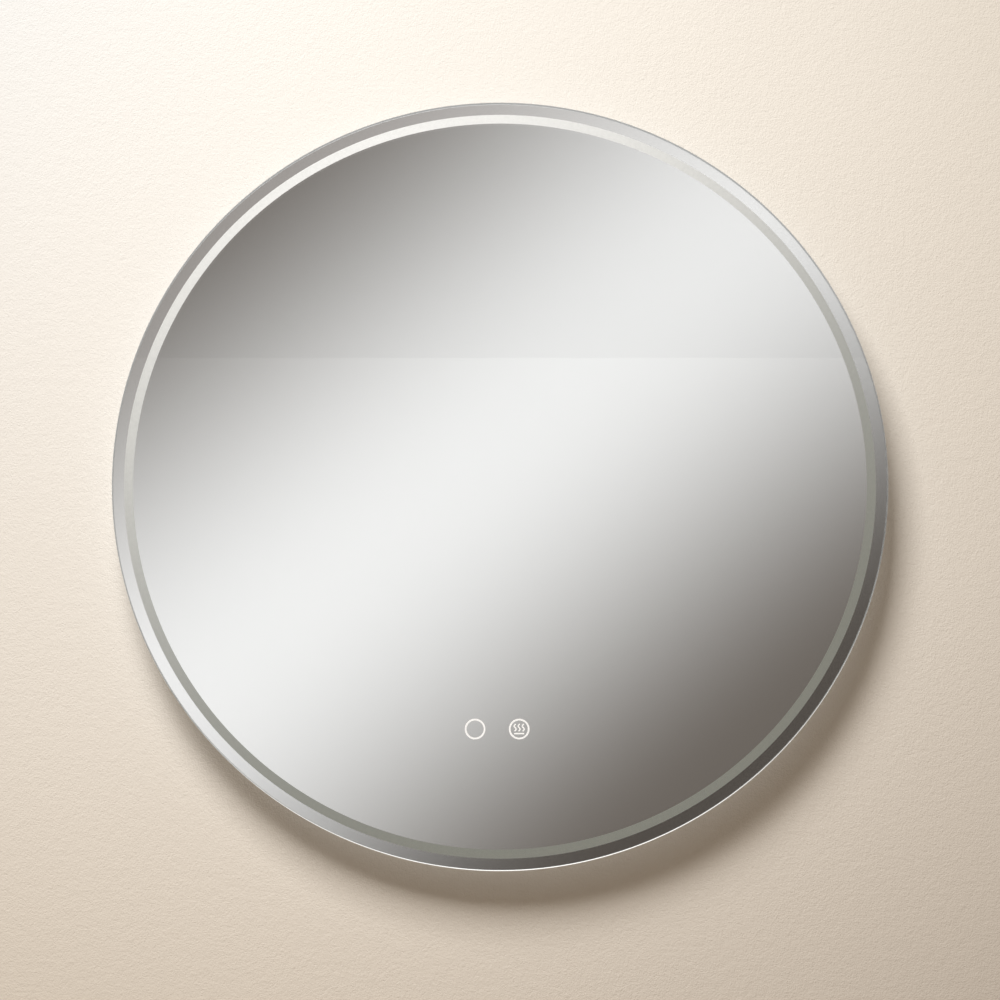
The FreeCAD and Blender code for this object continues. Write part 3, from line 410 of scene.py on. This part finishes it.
class Finish(Nodes):
    """A material under construction: a Principled surface and short ways to vary it."""

    def __init__(self, name, base, roughness, metallic=0.0):
        self.material = bpy.data.materials.new(name)
        self.material.use_nodes = True
        super().__init__(self.material.node_tree)
        self.surface = self.tree.nodes["Principled BSDF"]
        self.base = base
        self.bumps = None
        self.set_surface({"Base Color": (*base, 1), "Roughness": roughness, "Metallic": metallic})

    def set_surface(self, inputs):
        self.wire(self.surface, inputs)

    def show(self, shader):
        """Show this shader in place of the bare surface."""
        self.wire(self.tree.nodes["Material Output"], {"Surface": shader})

    def place(self, scale=(1, 1, 1)):
        """Object coordinates, stretched."""
        where = self.node("ShaderNodeTexCoord").outputs["Object"]
        return self.node("ShaderNodeMapping", {"Vector": where, "Scale": scale}).outputs["Vector"]

    def noise(self, scale, detail=4.0, stretch=(1, 1, 1)):
        inputs = {"Scale": scale, "Detail": detail, "Roughness": 0.55, "Vector": self.place(stretch)}
        return self.node("ShaderNodeTexNoise", inputs).outputs["Fac"]

    def tint(self, value, low, high):
        """The base colour from darker to lighter as the value rises."""
        ramp = self.node("ShaderNodeValToRGB", {"Fac": value})
        for stop, place, share in zip(ramp.color_ramp.elements, (0.3, 0.7), (low, high)):
            stop.position = place
            stop.color = (*[min(channel * share, 1) for channel in self.base], 1)
        self.set_surface({"Base Color": ramp.outputs["Color"]})

    def roughen(self, value, low, high):
        self.set_surface({"Roughness": self.remap(value, low, high)})

    def glow(self, tint, strength):
        self.set_surface({"Emission Color": (*tint, 1), "Emission Strength": strength})

    def bump(self, height, distance):
        """Raise the surface by a height in shares of a distance, on top of the bumps that it has."""
        inputs = {"Height": height, "Distance": distance}
        if self.bumps:
            inputs["Normal"] = self.bumps
        self.bumps = self.node("ShaderNodeBump", inputs).outputs["Normal"]
        self.set_surface({"Normal": self.bumps})

    def let_light_through(self, share=0.0):
        """Lamp light and even light pass straight through, and so does this share of what is seen."""
        ray = self.node("ShaderNodeLightPath").outputs
        light = self.maths("MAXIMUM", ray["Is Shadow Ray"], ray["Is Diffuse Ray"])
        clear = self.node("ShaderNodeBsdfTransparent").outputs[0]
        self.show(self.mixed(self.maths("MAXIMUM", light, share), self.surface.outputs[0], clear))

    def radial(self):
        """The direction straight out from the mirror's axis."""
        where = self.node("ShaderNodeTexCoord").outputs["Object"]
        return self.vector("NORMALIZE", self.vector("MULTIPLY", where, (1, 0, 1)))

    def towards(self, angle):
        """The cosine of the angle between the radial direction and one given from +X towards +Z."""
        return self.vector("DOT_PRODUCT", self.radial(), (math.cos(angle), 0, math.sin(angle)))

    def leaning(self, slope):
        """The normal of fine prisms that slope outwards: the front direction leant to the radial one."""
        lean = self.vector("MULTIPLY_ADD", self.radial(), (math.tan(slope),) * 3, OUT)
        return self.vector("NORMALIZE", lean)


def grained(name, base, rough, grain, depth, tint=0.05):
    """A finish with cloudy colour, uneven gloss and a fine raised grain. Grain is its size in metres."""
    made = Finish(name, base, rough)
    made.tint(made.noise(18.0), 1 - tint, 1 + tint)
    made.roughen(made.noise(55.0), rough * 0.85, min(rough * 1.15, 1.0))
    made.bump(made.noise(1 / grain, 2.0), depth)
    return made.material


def silver_finish(colours):
    """Silver behind glass: a true mirror with a trace of haze that comes and goes."""
    made = Finish("silver film", colours.silver, 0.0, 1.0)
    made.tint(made.noise(3.0), 0.992, 1.004)
    made.roughen(made.noise(9.0), 0.0, 0.001)
    return made.material


def pane_finish(colours):
    """Clear float glass. Lamp light and even light pass straight through it, so what lies behind is lit."""
    made = Finish("clear glass", colours.glass, 0.0)
    made.set_surface({"Transmission Weight": 1.0, "IOR": 1.5})
    made.roughen(made.noise(14.0), 0.0, 0.001)
    made.let_light_through()
    return made.material


def edge_finish(name, colours, glow):
    """The pane's polished edge: clear on the lamp's side, with a painted glow along its lower side."""
    made = Finish(name, colours.glass_edge, 0.15, 0.8)
    made.tint(made.noise(40.0), 0.94, 1.05)
    made.roughen(made.noise(300.0, stretch=(1, 12, 1)), 0.12, 0.2)
    # Painted highlight: emission on the lower side of the edge, set by the angle round the mirror.
    made.glow(EDGE_PAINTED_GLOW_TINT, made.remap(made.towards(PAINTED_GLOW_SIDE), 0, glow, *PAINTED_GLOW_SPREAD))
    made.let_light_through(made.remap(made.towards(LAMP_SIDE), 0, EDGE_CLEAR, *CLEAR_SPREAD))
    return made.material


def etched_finish(colours, slope, glow):
    """Satin glass with fine outward prisms: a soft white with a sparkle in its grain."""
    made = Finish("etched satin", colours.etched, 0.55)
    made.set_surface({"IOR": 1.25})
    made.tint(made.noise(400.0, 2.0), 0.965, 1.03)
    made.roughen(made.noise(120.0), 0.45, 0.65)
    made.bumps = made.leaning(slope)
    made.bump(made.noise(9000.0, 2.0), 0.01 * MM)
    # Painted light: an even glow that lifts the ring's shaded side.
    made.glow(RING_PAINTED_GLOW_TINT, glow)
    return made.material


def rim_finish(colours, slope, haze):
    """The silver outside the light ring, with painted shade towards its lower right and painted light
    towards the lamp, where a haze scatters light.

    Its tone is the silver's times a number in RIM_PAINTED_TONES, and the haze is a share of satin white on
    the light ring's prisms. Both rise evenly with the cosine of the angle from RIM_PAINTED_LIGHT_SIDE or
    LAMP_SIDE."""
    made = Finish("silver rim", colours.silver, 0.0, 1.0)
    made.roughen(made.noise(9.0), 0.0, 0.002)
    # Painted shade and light: the silver's tone set by the angle round the rim.
    tone = made.remap(made.towards(RIM_PAINTED_LIGHT_SIDE), *RIM_PAINTED_TONES, *RIM_PAINTED_SPREAD)
    made.set_surface({"Base Color": made.scaled(colours.silver, tone)})
    satin = {"Color": (*colours.etched, 1), "Normal": made.leaning(slope)}
    white = made.node("ShaderNodeBsdfDiffuse", satin)
    # The haze's share is painted stronger on the lamp's side and fades out away from it.
    share = made.remap(made.towards(LAMP_SIDE), 0, haze, *PAINTED_HAZE_SPREAD)
    made.show(made.mixed(share, made.surface.outputs[0], white.outputs[0]))
    return made.material


def icon_finish(colours, glow):
    """White touch icons with a faint painted glow."""
    made = Finish("icon white", colours.icon, 0.5)
    made.tint(made.noise(900.0, 2.0), 0.97, 1.05)
    made.glow(ICON_PAINTED_GLOW_TINT, glow)
    return made.material


def brushed_finish(name, base, stretch, rough):
    """Metal with fine lines. Stretch is the scale of the pattern along X, Y and Z."""
    made = Finish(name, base, rough, 1.0)
    lines = made.noise(1.0, 3.0, stretch)
    made.tint(lines, 0.94, 1.03)
    made.roughen(lines, rough * 0.8, rough * 1.2)
    made.bump(lines, 0.01 * MM)
    return made.material


def zinc_finish(name, base, rough):
    """Bright zinc plating: soft crystals in tone and gloss."""
    made = Finish(name, base, rough, 1.0)
    crystals = made.node("ShaderNodeTexVoronoi", {"Scale": 240.0, "Vector": made.place()})
    made.tint(crystals.outputs["Color"], 0.90, 1.05)
    made.roughen(made.noise(150.0), rough * 0.75, rough * 1.3)
    made.bump(made.noise(1400.0, 2.0), 0.01 * MM)
    return made.material


def plaster_finish(colours):
    """Painted fine plaster. Seen from behind it isn't there, so the mirror's back can be looked at.

    Its colour is the wall colour + x times WALL_SHADE_ACROSS + z times WALL_SHADE_UP + (x squared + z squared)
    times WALL_SHADE_FALLOFF + x times z times WALL_SHADE_TWIST, with x and z held within WALL_REACH, all times a
    faint cloudiness."""
    made = Finish("wall plaster", colours.wall, 0.85)
    held = made.vector("MINIMUM", made.place(), (WALL_REACH,) * 3)
    held = made.vector("MAXIMUM", held, (-WALL_REACH,) * 3)
    parted = made.node("ShaderNodeSeparateXYZ", {0: held}).outputs
    flat = made.vector("MULTIPLY", held, (1, 0, 1))
    squared = made.vector("DOT_PRODUCT", flat, flat)
    product = made.maths("MULTIPLY", parted["X"], parted["Z"])
    # Painted light and shade on the wall: lighter at its top left, darker towards its right, its bottom and
    # its corners.
    paint = colours.wall
    for share, change in ((parted["X"], WALL_SHADE_ACROSS), (parted["Z"], WALL_SHADE_UP),
                          (squared, WALL_SHADE_FALLOFF), (product, WALL_SHADE_TWIST)):
        paint = made.vector("MULTIPLY_ADD", share, change, paint)
    clouds = made.remap(made.noise(2.2, 3.0), 0.99, 1.01)
    made.set_surface({"Base Color": made.scaled(paint, clouds)})
    for scale, detail in PLASTER_GRAINS:
        made.bump(made.noise(scale, detail), PLASTER_RELIEF)
    behind = made.node("ShaderNodeNewGeometry").outputs["Backfacing"]
    gone = made.node("ShaderNodeBsdfTransparent").outputs[0]
    made.show(made.mixed(behind, made.surface.outputs[0], gone))
    return made.material


# ---------------------------------------------------------------- one operator for each piece or group
class MakesPiece:
    """What the operators share: that they can be undone, and how they reach the settings."""
    bl_options = {"REGISTER", "UNDO"}

    def sizes(self, context):
        return context.scene.mirror_sizes

    def colours(self, context):
        return context.scene.mirror_colours


class MIRROR_OT_glass_pane(MakesPiece, Operator):
    """The round pane: a disc with flat faces, polished corners and a polished edge, turned on the axis."""
    bl_idname = "mirror.glass_pane"
    bl_label = "Glass Pane"

    def execute(self, context):
        colours = self.colours(context)
        arris = GLASS_R - ARRIS_R
        corner = self.sizes(context).front_corner
        profile = [(0, GLASS_BACK), (ARRIS_R, GLASS_BACK), (GLASS_R, GLASS_BACK + arris),
                   (GLASS_R, GLASS_FRONT - corner), (GLASS_R - corner, GLASS_FRONT), (0, GLASS_FRONT)]
        pane = piece("glass_pane", turned(profile, segments=512), pane_finish(colours))
        pane.data.materials.append(edge_finish("glass edge", colours, self.sizes(context).edge_painted_glow))
        pane.data.materials.append(edge_finish("glass back corner", colours, 0.0))
        centres = np.empty(len(pane.data.polygons) * 3, np.float32)
        pane.data.polygons.foreach_get("center", centres)
        centres = centres.reshape(-1, 3)
        on_edge = np.hypot(centres[:, 0], centres[:, 2]) > ARRIS_R
        on_back_corner = on_edge & (-centres[:, 1] < GLASS_BACK + arris)
        finishes = on_edge.astype(np.int32) + on_back_corner.astype(np.int32)
        pane.data.polygons.foreach_set("material_index", finishes)
        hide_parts("mirror_glass")
        return {"FINISHED"}


class MIRROR_OT_silver_film(MakesPiece, Operator):
    """The silver in the gap behind the glass: a thin disc inside the light ring and a thin rim outside."""
    bl_idname = "mirror.silver_film"
    bl_label = "Silver Film"

    def execute(self, context):
        sizes = self.sizes(context)
        low = COATING_FRONT + sizes.film_inset
        high = low + sizes.film
        disc = [(0, low), (ETCHED_IN, low), (ETCHED_IN, high), (0, high)]
        edge = COATING_R - sizes.film_margin
        rim = [(ETCHED_OUT, low), (edge, low), (edge, high), (ETCHED_OUT, high)]
        disc_look = silver_finish(self.colours(context))
        piece("silver_disc", turned(disc, segments=512), disc_look)
        rim_look = rim_finish(self.colours(context), sizes.prism_slope, sizes.rim_haze)
        piece("silver_rim", turned(rim, segments=512), rim_look)
        backing = grained("backing paint", self.colours(context).backing, 0.5, 0.4 * MM, 0.02 * MM)
        dress(["mirror_coating"], backing)
        return {"FINISHED"}


class MIRROR_OT_etched_ring(MakesPiece, Operator):
    """The satin band in the silver's gap. Its finish carries the fine prisms that run round it."""
    bl_idname = "mirror.etched_ring"
    bl_label = "Etched Light Ring"

    def execute(self, context):
        sizes = self.sizes(context)
        low = COATING_FRONT + sizes.film_inset
        high = low + sizes.film
        band = [(ETCHED_IN, low), (ETCHED_OUT, low), (ETCHED_OUT, high), (ETCHED_IN, high)]
        satin = etched_finish(self.colours(context), sizes.prism_slope, sizes.ring_painted_glow)
        piece("etched_ring", turned(band, segments=512), satin)
        return {"FINISHED"}


class MIRROR_OT_touch_icons(MakesPiece, Operator):
    """The two icons between the silver and the glass.

    Both have a ring. The demister's has three waves over a bar. A wave swings by a sine, a little over
    one turn of it from its foot to its top, first to the right and then to the left."""
    bl_idname = "mirror.touch_icons"
    bl_label = "Touch Icons"

    def execute(self, context):
        sizes = self.sizes(context)
        low = COATING_FRONT + 2 * sizes.film_inset + sizes.film
        high = low + sizes.film
        white = icon_finish(self.colours(context), sizes.icon_painted_glow)
        ring = [(sizes.icon_radius - sizes.icon_line, low), (sizes.icon_radius, low),
                (sizes.icon_radius, high), (sizes.icon_radius - sizes.icon_line, high)]
        light = middle("light_touch_case")
        piece("icon_light", turned(ring, (light.x, 0, light.z), segments=96), white)

        heat = middle("heat_touch_case")
        parts = [turned(ring, (heat.x, 0, heat.z), segments=96)]
        run = np.linspace(-0.5, 0.5, 33)
        turn = 2 * np.pi * sizes.wave_turns * run
        for side in (-1, 0, 1):
            swing = heat.x + side * sizes.wave_pitch + sizes.wave_swing * -np.sin(turn)
            rise = heat.z + sizes.wave_rise + sizes.wave_height * run
            parts.append(strip(np.stack([swing, rise], 1), sizes.wave_line, low, high))
        bar_z = heat.z - sizes.bar_drop
        ends = np.array([-0.5, 0.5]) * sizes.bar_length
        bar = np.stack([heat.x + ends, np.full(2, bar_z)], 1)
        parts.append(strip(bar, sizes.wave_line * sizes.bar_line, low, high))
        piece("icon_demister", joined(parts), white)
        return {"FINISHED"}


class MIRROR_OT_hoop(MakesPiece, Operator):
    """The chassis channel: bonding lip, wall and rear flange, turned about the axis and open at its slit."""
    bl_idname = "mirror.hoop"
    bl_label = "Chassis Hoop"

    def execute(self, context):
        low, high = depth_range("chassis_ring")
        steps = radii("chassis_ring")
        lip_r, flange_r = float(steps[-1]), float(steps[0])
        wall_in, wall_out = hoop_wall()
        thick = wall_out - wall_in
        slit = math.degrees(HALF_SLIT / wall_out)
        profile = [(flange_r, low), (wall_out, low), (wall_out, high - thick), (lip_r, high - thick),
                   (lip_r, high), (wall_in, high), (wall_in, low + thick), (flange_r, low + thick)]
        satin = brushed_finish("anodised aluminium", self.colours(context).aluminium, (25, 3200, 25), 0.34)
        shape = turned(profile, segments=480, start=-90 + slit, sweep=OPEN_TURN - 2 * slit)
        hoop = piece("chassis_hoop", shape, satin)
        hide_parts("chassis_ring")
        dress(["chassis_joiner"], satin)
        return {"FINISHED"}


class MIRROR_OT_back_panel(MakesPiece, Operator):
    """The pressed cover and the access lid, with smooth bead and louvres and softened edges."""
    bl_idname = "mirror.back_panel"
    bl_label = "Back Cover and Lid"

    def execute(self, context):
        coat = grained("powder coat", self.colours(context).cover, 0.52, 0.55 * MM, 0.03 * MM, tint=0.02)
        smoothed("pressed_cover", "back_cover", coat, 0.0)
        smoothed("access_plate", "access_lid", coat, self.sizes(context).sheet_edge)
        return {"FINISHED"}


class MIRROR_OT_rails(MakesPiece, Operator):
    """The wall rail and the hanger, and the spot welds that hold the hanger on the cover.

    A weld is a shallow dish with a raised rim: its height over the radius is a cosine that ends flat."""
    bl_idname = "mirror.rails"
    bl_label = "Rails and Welds"

    def execute(self, context):
        sizes = self.sizes(context)
        zinc = zinc_finish("zinc plated rail", self.colours(context).zinc, 0.38)
        smoothed("wall_rail_strip", "wall_rail", zinc, sizes.sheet_edge, "wall_mount")
        smoothed("hanger_strip", "hanger_rail", zinc, sizes.sheet_edge)
        low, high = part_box("hanger_rail")
        share = np.linspace(0, 1, 9)
        rise = WELD_RIM * (1 - np.cos(2 * np.pi * share)) / 2 + WELD_PROUD
        top = np.stack([share * sizes.weld_radius, rise], 1)
        profile = np.concatenate([top, [(sizes.weld_radius, -WELD_ROOT), (0, -WELD_ROOT)]])
        xs = np.linspace(low.x + WELD_INSET, high.x - WELD_INSET, sizes.weld_count)
        y, z = STRIP_THICKNESS - COVER_BACK_FACE, high.z - WELD_DROP
        welds = [turned(profile, (x, y, z), -OUT, 28) for x in xs]
        piece("weld_spots", joined(welds), zinc)
        return {"FINISHED"}


class MIRROR_OT_fasteners(MakesPiece, Operator):
    """Pan-head screws with a cross recess, and the domed rivets of the hoop's joiner.

    A head's height over radius and angle is a quarter ellipse, and the recess takes away a depth that
    fades out where the nearer of the two blades' middles is over half a blade away, or past its reach."""
    bl_idname = "mirror.fasteners"
    bl_label = "Screws and Rivets"

    def execute(self, context):
        sizes = self.sizes(context)
        zinc = zinc_finish("zinc plated screw", self.colours(context).zinc, 0.30)
        for name, node in (("cover_screw_set", "cover_screws"), ("lid_screw_set", "lid_screws")):
            screws = [pan_head(sizes, centre, *depth_range(node)) for centre in round_centres(node)]
            made = piece(name, joined(screws), zinc)
            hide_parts(node)
        metal = brushed_finish("rivet aluminium", self.colours(context).aluminium, (900, 900, 900), 0.4)
        smoothed("joiner_rivet_set", "joiner_rivets", metal, sizes.rivet_edge)
        return {"FINISHED"}


class MIRROR_OT_rubber_parts(MakesPiece, Operator):
    """The bumpers and the cable grommet, with moulded edges."""
    bl_idname = "mirror.rubber_parts"
    bl_label = "Bumpers and Grommet"

    def execute(self, context):
        edge = self.sizes(context).rubber_edge
        rubber = grained("moulded rubber", self.colours(context).rubber, 0.62, 0.5 * MM, 0.03 * MM, tint=0.2)
        smoothed("bumper_set", "bumper_pads", rubber, edge)
        smoothed("grommet_ring", "cable_grommet", rubber, edge / 2)
        return {"FINISHED"}


INSIDE_GRAIN = 0.5 * MM

# Finishes of what the housing shuts in: nodes, name, colour, roughness, height of the grain in mm, and tint
INSIDE_FINISHES = (
    (("bond_tape",), "bonding foam", (0.03, 0.03, 0.032), 0.8, 0.02, 0.15),
    (("diffuser_ring",), "opal acrylic", (0.86, 0.86, 0.84), 0.35, 0.02, 0.05),
    (("led_tape",), "tape white", (0.82, 0.82, 0.80), 0.45, 0.02, 0.05),
    (("led_chips",), "phosphor", (0.90, 0.74, 0.22), 0.3, 0.02, 0.05),
    (("terminal_box", "driver_case", "driver_lid"), "moulded white", (0.80, 0.80, 0.78), 0.5, 0.04, 0.05),
    (("terminal_block", "cord_clamp", "lead_clips"), "natural nylon", (0.74, 0.72, 0.66), 0.4, 0.02, 0.05),
    (("driver_tapes", "touch_tapes"), "mounting foam", (0.72, 0.72, 0.68), 0.85, 0.02, 0.05),
    (("driver_board", "light_touch_board", "heat_touch_board"), "solder mask",
     (0.02, 0.17, 0.06), 0.3, 0.02, 0.15),
    (("driver_components",), "component black", (0.03, 0.03, 0.035), 0.45, 0.02, 0.2),
    (("light_touch_case", "light_touch_lid", "heat_touch_case", "heat_touch_lid"), "sensor black",
     (0.02, 0.02, 0.022), 0.5, 0.04, 0.2),
    (("demister_pad",), "polyester film", (0.75, 0.71, 0.60), 0.35, 0.02, 0.05),
    (("mains_link_lead", "led_lead", "light_touch_lead", "heat_touch_lead"), "white insulation",
     (0.78, 0.78, 0.76), 0.4, 0.02, 0.05),
    (("demister_lead",), "grey insulation", (0.28, 0.28, 0.29), 0.4, 0.02, 0.05),
    (("earth_lead",), "green and yellow insulation", (0.38, 0.55, 0.04), 0.4, 0.02, 0.05),
)


class MIRROR_OT_inside(MakesPiece, Operator):
    """Finishes for what the housing shuts in."""
    bl_idname = "mirror.inside"
    bl_label = "Inside Finishes"

    def execute(self, context):
        for nodes, name, base, rough, height, tint in INSIDE_FINISHES:
            dress(nodes, grained(name, base, rough, INSIDE_GRAIN, height * MM, tint))
        dress(["demister_track"], brushed_finish("etched foil", (0.75, 0.75, 0.76), (900, 900, 900), 0.3))
        dress(["earth_ring_terminal", "earth_stud", "earth_nut"],
              zinc_finish("plain brass", (0.72, 0.55, 0.24), 0.35))
        return {"FINISHED"}


class MIRROR_OT_stage(MakesPiece, Operator):
    """The wall, the light and the camera."""
    bl_idname = "mirror.stage"
    bl_label = "Stage"

    def execute(self, context):
        studio = context.scene.mirror_studio
        make_wall(self.colours(context))
        make_world(context.scene, studio)
        lamp("key lamp", studio.key_place, (0, 0, 0), studio.key_power, studio.key_size)
        lamp("back lamp", studio.back_place, (0, 0, 0), studio.back_power, studio.back_size)
        make_camera(context.scene, studio)
        context.scene.view_settings.view_transform = "Standard"
        return {"FINISHED"}


# ---------------------------------------------------------------- what the operators use
def dress(nodes, material):
    """Give frame nodes a finish."""
    for node in nodes:
        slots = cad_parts[node].data.materials
        slots.clear()
        slots.append(material)


def hoop_wall():
    """Inner and outer radius of the channel's wall: the tape sits on one, and the lip leaves the other."""
    steps = radii("chassis_ring")
    outer = float(steps[steps < steps[-1] - 1 * MM].max())
    tape_out = float(radii("led_tape").max())
    inner = float(steps[(steps >= tape_out) & (steps < outer - 0.5 * MM)].min())
    return inner, outer


def round_centres(node):
    """The (x, z) middles of the like round solids in a node, found by grouping its vertices."""
    points = node_points(node)[:, [0, 2]]
    found = []
    while len(points):
        near = np.hypot(*(points - points[0]).T) < SCREW_SPREAD
        group = points[near]
        found.append((group.min(0) + group.max(0)) / 2)
        points = points[~near]
    return found


def pan_head(sizes, centre, back, front):
    """One screw, from its head's top at depth back to its tip at depth front."""
    seat = back + HEAD_H
    steps, rows = 72, 15
    angles = 2 * np.pi * np.arange(steps) / steps
    share = np.linspace(0, 1, rows)
    radius = HEAD_R * np.sin(share * np.pi / 2)
    dome = HEAD_H * (1 - DOME_SHARE + DOME_SHARE * np.cos(share * np.pi / 2))
    across = np.abs(radius[None] * np.cos(angles)[:, None])
    upward = np.abs(radius[None] * np.sin(angles)[:, None])
    blade = np.clip((sizes.recess_width - np.minimum(across, upward)) / BLADE_FADE, 0, 1)
    reach = np.clip((sizes.recess_reach - radius[None]) / REACH_FADE, 0, 1)
    height = dome[None] - RECESS_DEPTH * blade * reach
    top = np.stack([np.repeat(radius[None], steps, 0), seat - height], -1)
    rest = np.array([(HEAD_R, seat), (SHANK_R, seat), (SHANK_R, front), (0, front)])
    profile = np.concatenate([top, np.repeat(rest[None], steps, 0)], 1)
    return turned(profile, (centre[0], 0, centre[1]), segments=steps)


def make_wall(colours):
    """A large flat square at the wall's plane, facing the room."""
    mesh = bpy.data.meshes.new("wall")
    half, y = WALL_HALF, WALL_SETBACK
    corners = [(-half, y, -half), (half, y, -half), (half, y, half), (-half, y, half)]
    mesh.from_pydata(corners, [], [(0, 1, 2, 3)])
    mesh.materials.append(plaster_finish(colours))
    wall = bpy.data.objects.new("wall", mesh)
    bpy.context.scene.collection.objects.link(wall)
    wall.visible_diffuse = False
    wall.visible_glossy = False
    wall.visible_transmission = False
    wall.visible_shadow = False


def lamp(name, place, aim, power, size):
    """A square lamp turned to a point, unseen in the mirror."""
    data = bpy.data.lights.new(name, "AREA")
    data.shape = "SQUARE"
    data.size = size
    data.energy = power
    thing = bpy.data.objects.new(name, data)
    thing.location = place
    thing.rotation_euler = (Vector(aim) - Vector(place)).to_track_quat("-Z", "Y").to_euler()
    thing.visible_glossy = False
    thing.visible_transmission = False
    thing.visible_camera = False
    bpy.context.scene.collection.objects.link(thing)


def make_world(scene, studio):
    """Even warm light, a pale backdrop, and for mirrors a room of soft bright and dark bands.

    The bands' brightness is a cosine of the direction along STRIPE_ANGLE, and it steps down a little
    above the horizon. Past VIEW_SPREAD from VIEW_MIDDLE the room is plain, with ROOM_TONES by height."""
    scene.world = bpy.data.worlds.new("studio")
    scene.world.use_nodes = True
    scene.world.node_tree.nodes.clear()
    made = Nodes(scene.world.node_tree)

    def background(tone, strength=1.0):
        return made.node("ShaderNodeBackground", {"Color": tone, "Strength": strength}).outputs[0]

    where = made.node("ShaderNodeTexCoord").outputs["Generated"]
    across = made.vector("DOT_PRODUCT", where, (math.cos(STRIPE_ANGLE), 0, math.sin(STRIPE_ANGLE)))
    turn = made.maths("MULTIPLY", made.maths("SUBTRACT", across, STRIPE_PEAK), 2 * math.pi / STRIPE_PERIOD)
    wave = made.maths("MULTIPLY_ADD", made.maths("COSINE", turn), 0.5, 0.5)
    bands = made.blended(wave, (*BAND_DARK, 1), (*BAND_BRIGHT, 1))
    above = made.maths("GREATER_THAN", made.vector("DOT_PRODUCT", where, (0, HORIZON, 1)), 0.0)
    bands = made.scaled(bands, made.maths("MULTIPLY_ADD", above, ABOVE_HORIZON - 1, 1.0))

    upward = made.node("ShaderNodeSeparateXYZ", {0: where}).outputs["Z"]
    height = made.maths("MULTIPLY_ADD", upward, 0.5, 0.5)
    tones = made.node("ShaderNodeValToRGB", {"Fac": height})
    stops = tones.color_ramp.elements
    for index, (place, tone) in enumerate(ROOM_TONES):
        stop = stops[index] if index < 2 else stops.new(place)      # a new ramp has two stops
        stop.position = place
        stop.color = (tone, tone, ROOM_WARMTH * tone, 1)
    apart = made.vector("DISTANCE", where, VIEW_MIDDLE)
    fade = made.remap(apart, 0, 1, *VIEW_SPREAD, interpolation_type="SMOOTHSTEP")
    room = background(made.blended(fade, bands, tones.outputs["Color"]))

    ray = made.node("ShaderNodeLightPath").outputs
    mirrored = made.maths("MAXIMUM", ray["Is Glossy Ray"], ray["Is Transmission Ray"])
    colours = scene.mirror_colours
    lit = made.mixed(mirrored, background((*colours.even_light, 1), studio.fill), room)
    shown = made.mixed(ray["Is Camera Ray"], lit, background((*colours.backdrop, 1)))
    made.node("ShaderNodeOutputWorld", {"Surface": shown})


def make_camera(scene, studio):
    """A long lens below the mirror's axis that looks up at it."""
    data = bpy.data.cameras.new("camera")
    data.sensor_width = 36.0
    data.lens = data.sensor_width * studio.camera_distance / studio.frame_width
    camera = bpy.data.objects.new("camera", data)
    aim = Vector((0, -GLASS_FRONT, -studio.aim_drop))
    back = Vector((0, -math.cos(studio.camera_tilt), -math.sin(studio.camera_tilt)))
    camera.location = aim + back * studio.camera_distance
    camera.rotation_euler = (-back).to_track_quat("-Z", "Y").to_euler()
    scene.collection.objects.link(camera)
    scene.camera = camera


# ---------------------------------------------------------------- panel, registration and the run
PIECES = (MIRROR_OT_glass_pane, MIRROR_OT_silver_film, MIRROR_OT_etched_ring, MIRROR_OT_touch_icons,
          MIRROR_OT_hoop, MIRROR_OT_back_panel, MIRROR_OT_rails, MIRROR_OT_fasteners, MIRROR_OT_rubber_parts,
          MIRROR_OT_inside, MIRROR_OT_stage)
GROUPS = (("mirror_sizes", MirrorSizes), ("mirror_colours", MirrorColours),
          ("mirror_studio", StudioSettings))


class MIRROR_PT_sidebar(Panel):
    """Lists the operators and their settings."""
    bl_idname = "MIRROR_PT_sidebar"
    bl_label = "Lighted Mirror"
    bl_space_type = "VIEW_3D"
    bl_region_type = "UI"
    bl_category = "Mirror"

    def draw(self, context):
        for operator in PIECES:
            self.layout.operator(operator.bl_idname)
        for name, group in GROUPS:
            column = self.layout.column()
            for key in group.__annotations__:
                column.prop(getattr(context.scene, name), key)


def register():
    for name, group in GROUPS:
        bpy.utils.register_class(group)
        setattr(bpy.types.Scene, name, PointerProperty(type=group))
    for operator in PIECES:
        bpy.utils.register_class(operator)
    bpy.utils.register_class(MIRROR_PT_sidebar)


def unregister():
    bpy.utils.unregister_class(MIRROR_PT_sidebar)
    for operator in reversed(PIECES):
        bpy.utils.unregister_class(operator)
    for name, group in reversed(GROUPS):
        delattr(bpy.types.Scene, name)
        bpy.utils.unregister_class(group)


def main():
    register()
    bpy.ops.mirror.glass_pane()
    bpy.ops.mirror.silver_film()
    bpy.ops.mirror.etched_ring()
    bpy.ops.mirror.touch_icons()
    bpy.ops.mirror.hoop()
    bpy.ops.mirror.back_panel()
    bpy.ops.mirror.rails()
    bpy.ops.mirror.fasteners()
    bpy.ops.mirror.rubber_parts()
    bpy.ops.mirror.inside()
    bpy.ops.mirror.stage()


if __name__ == "__main__":
    main()
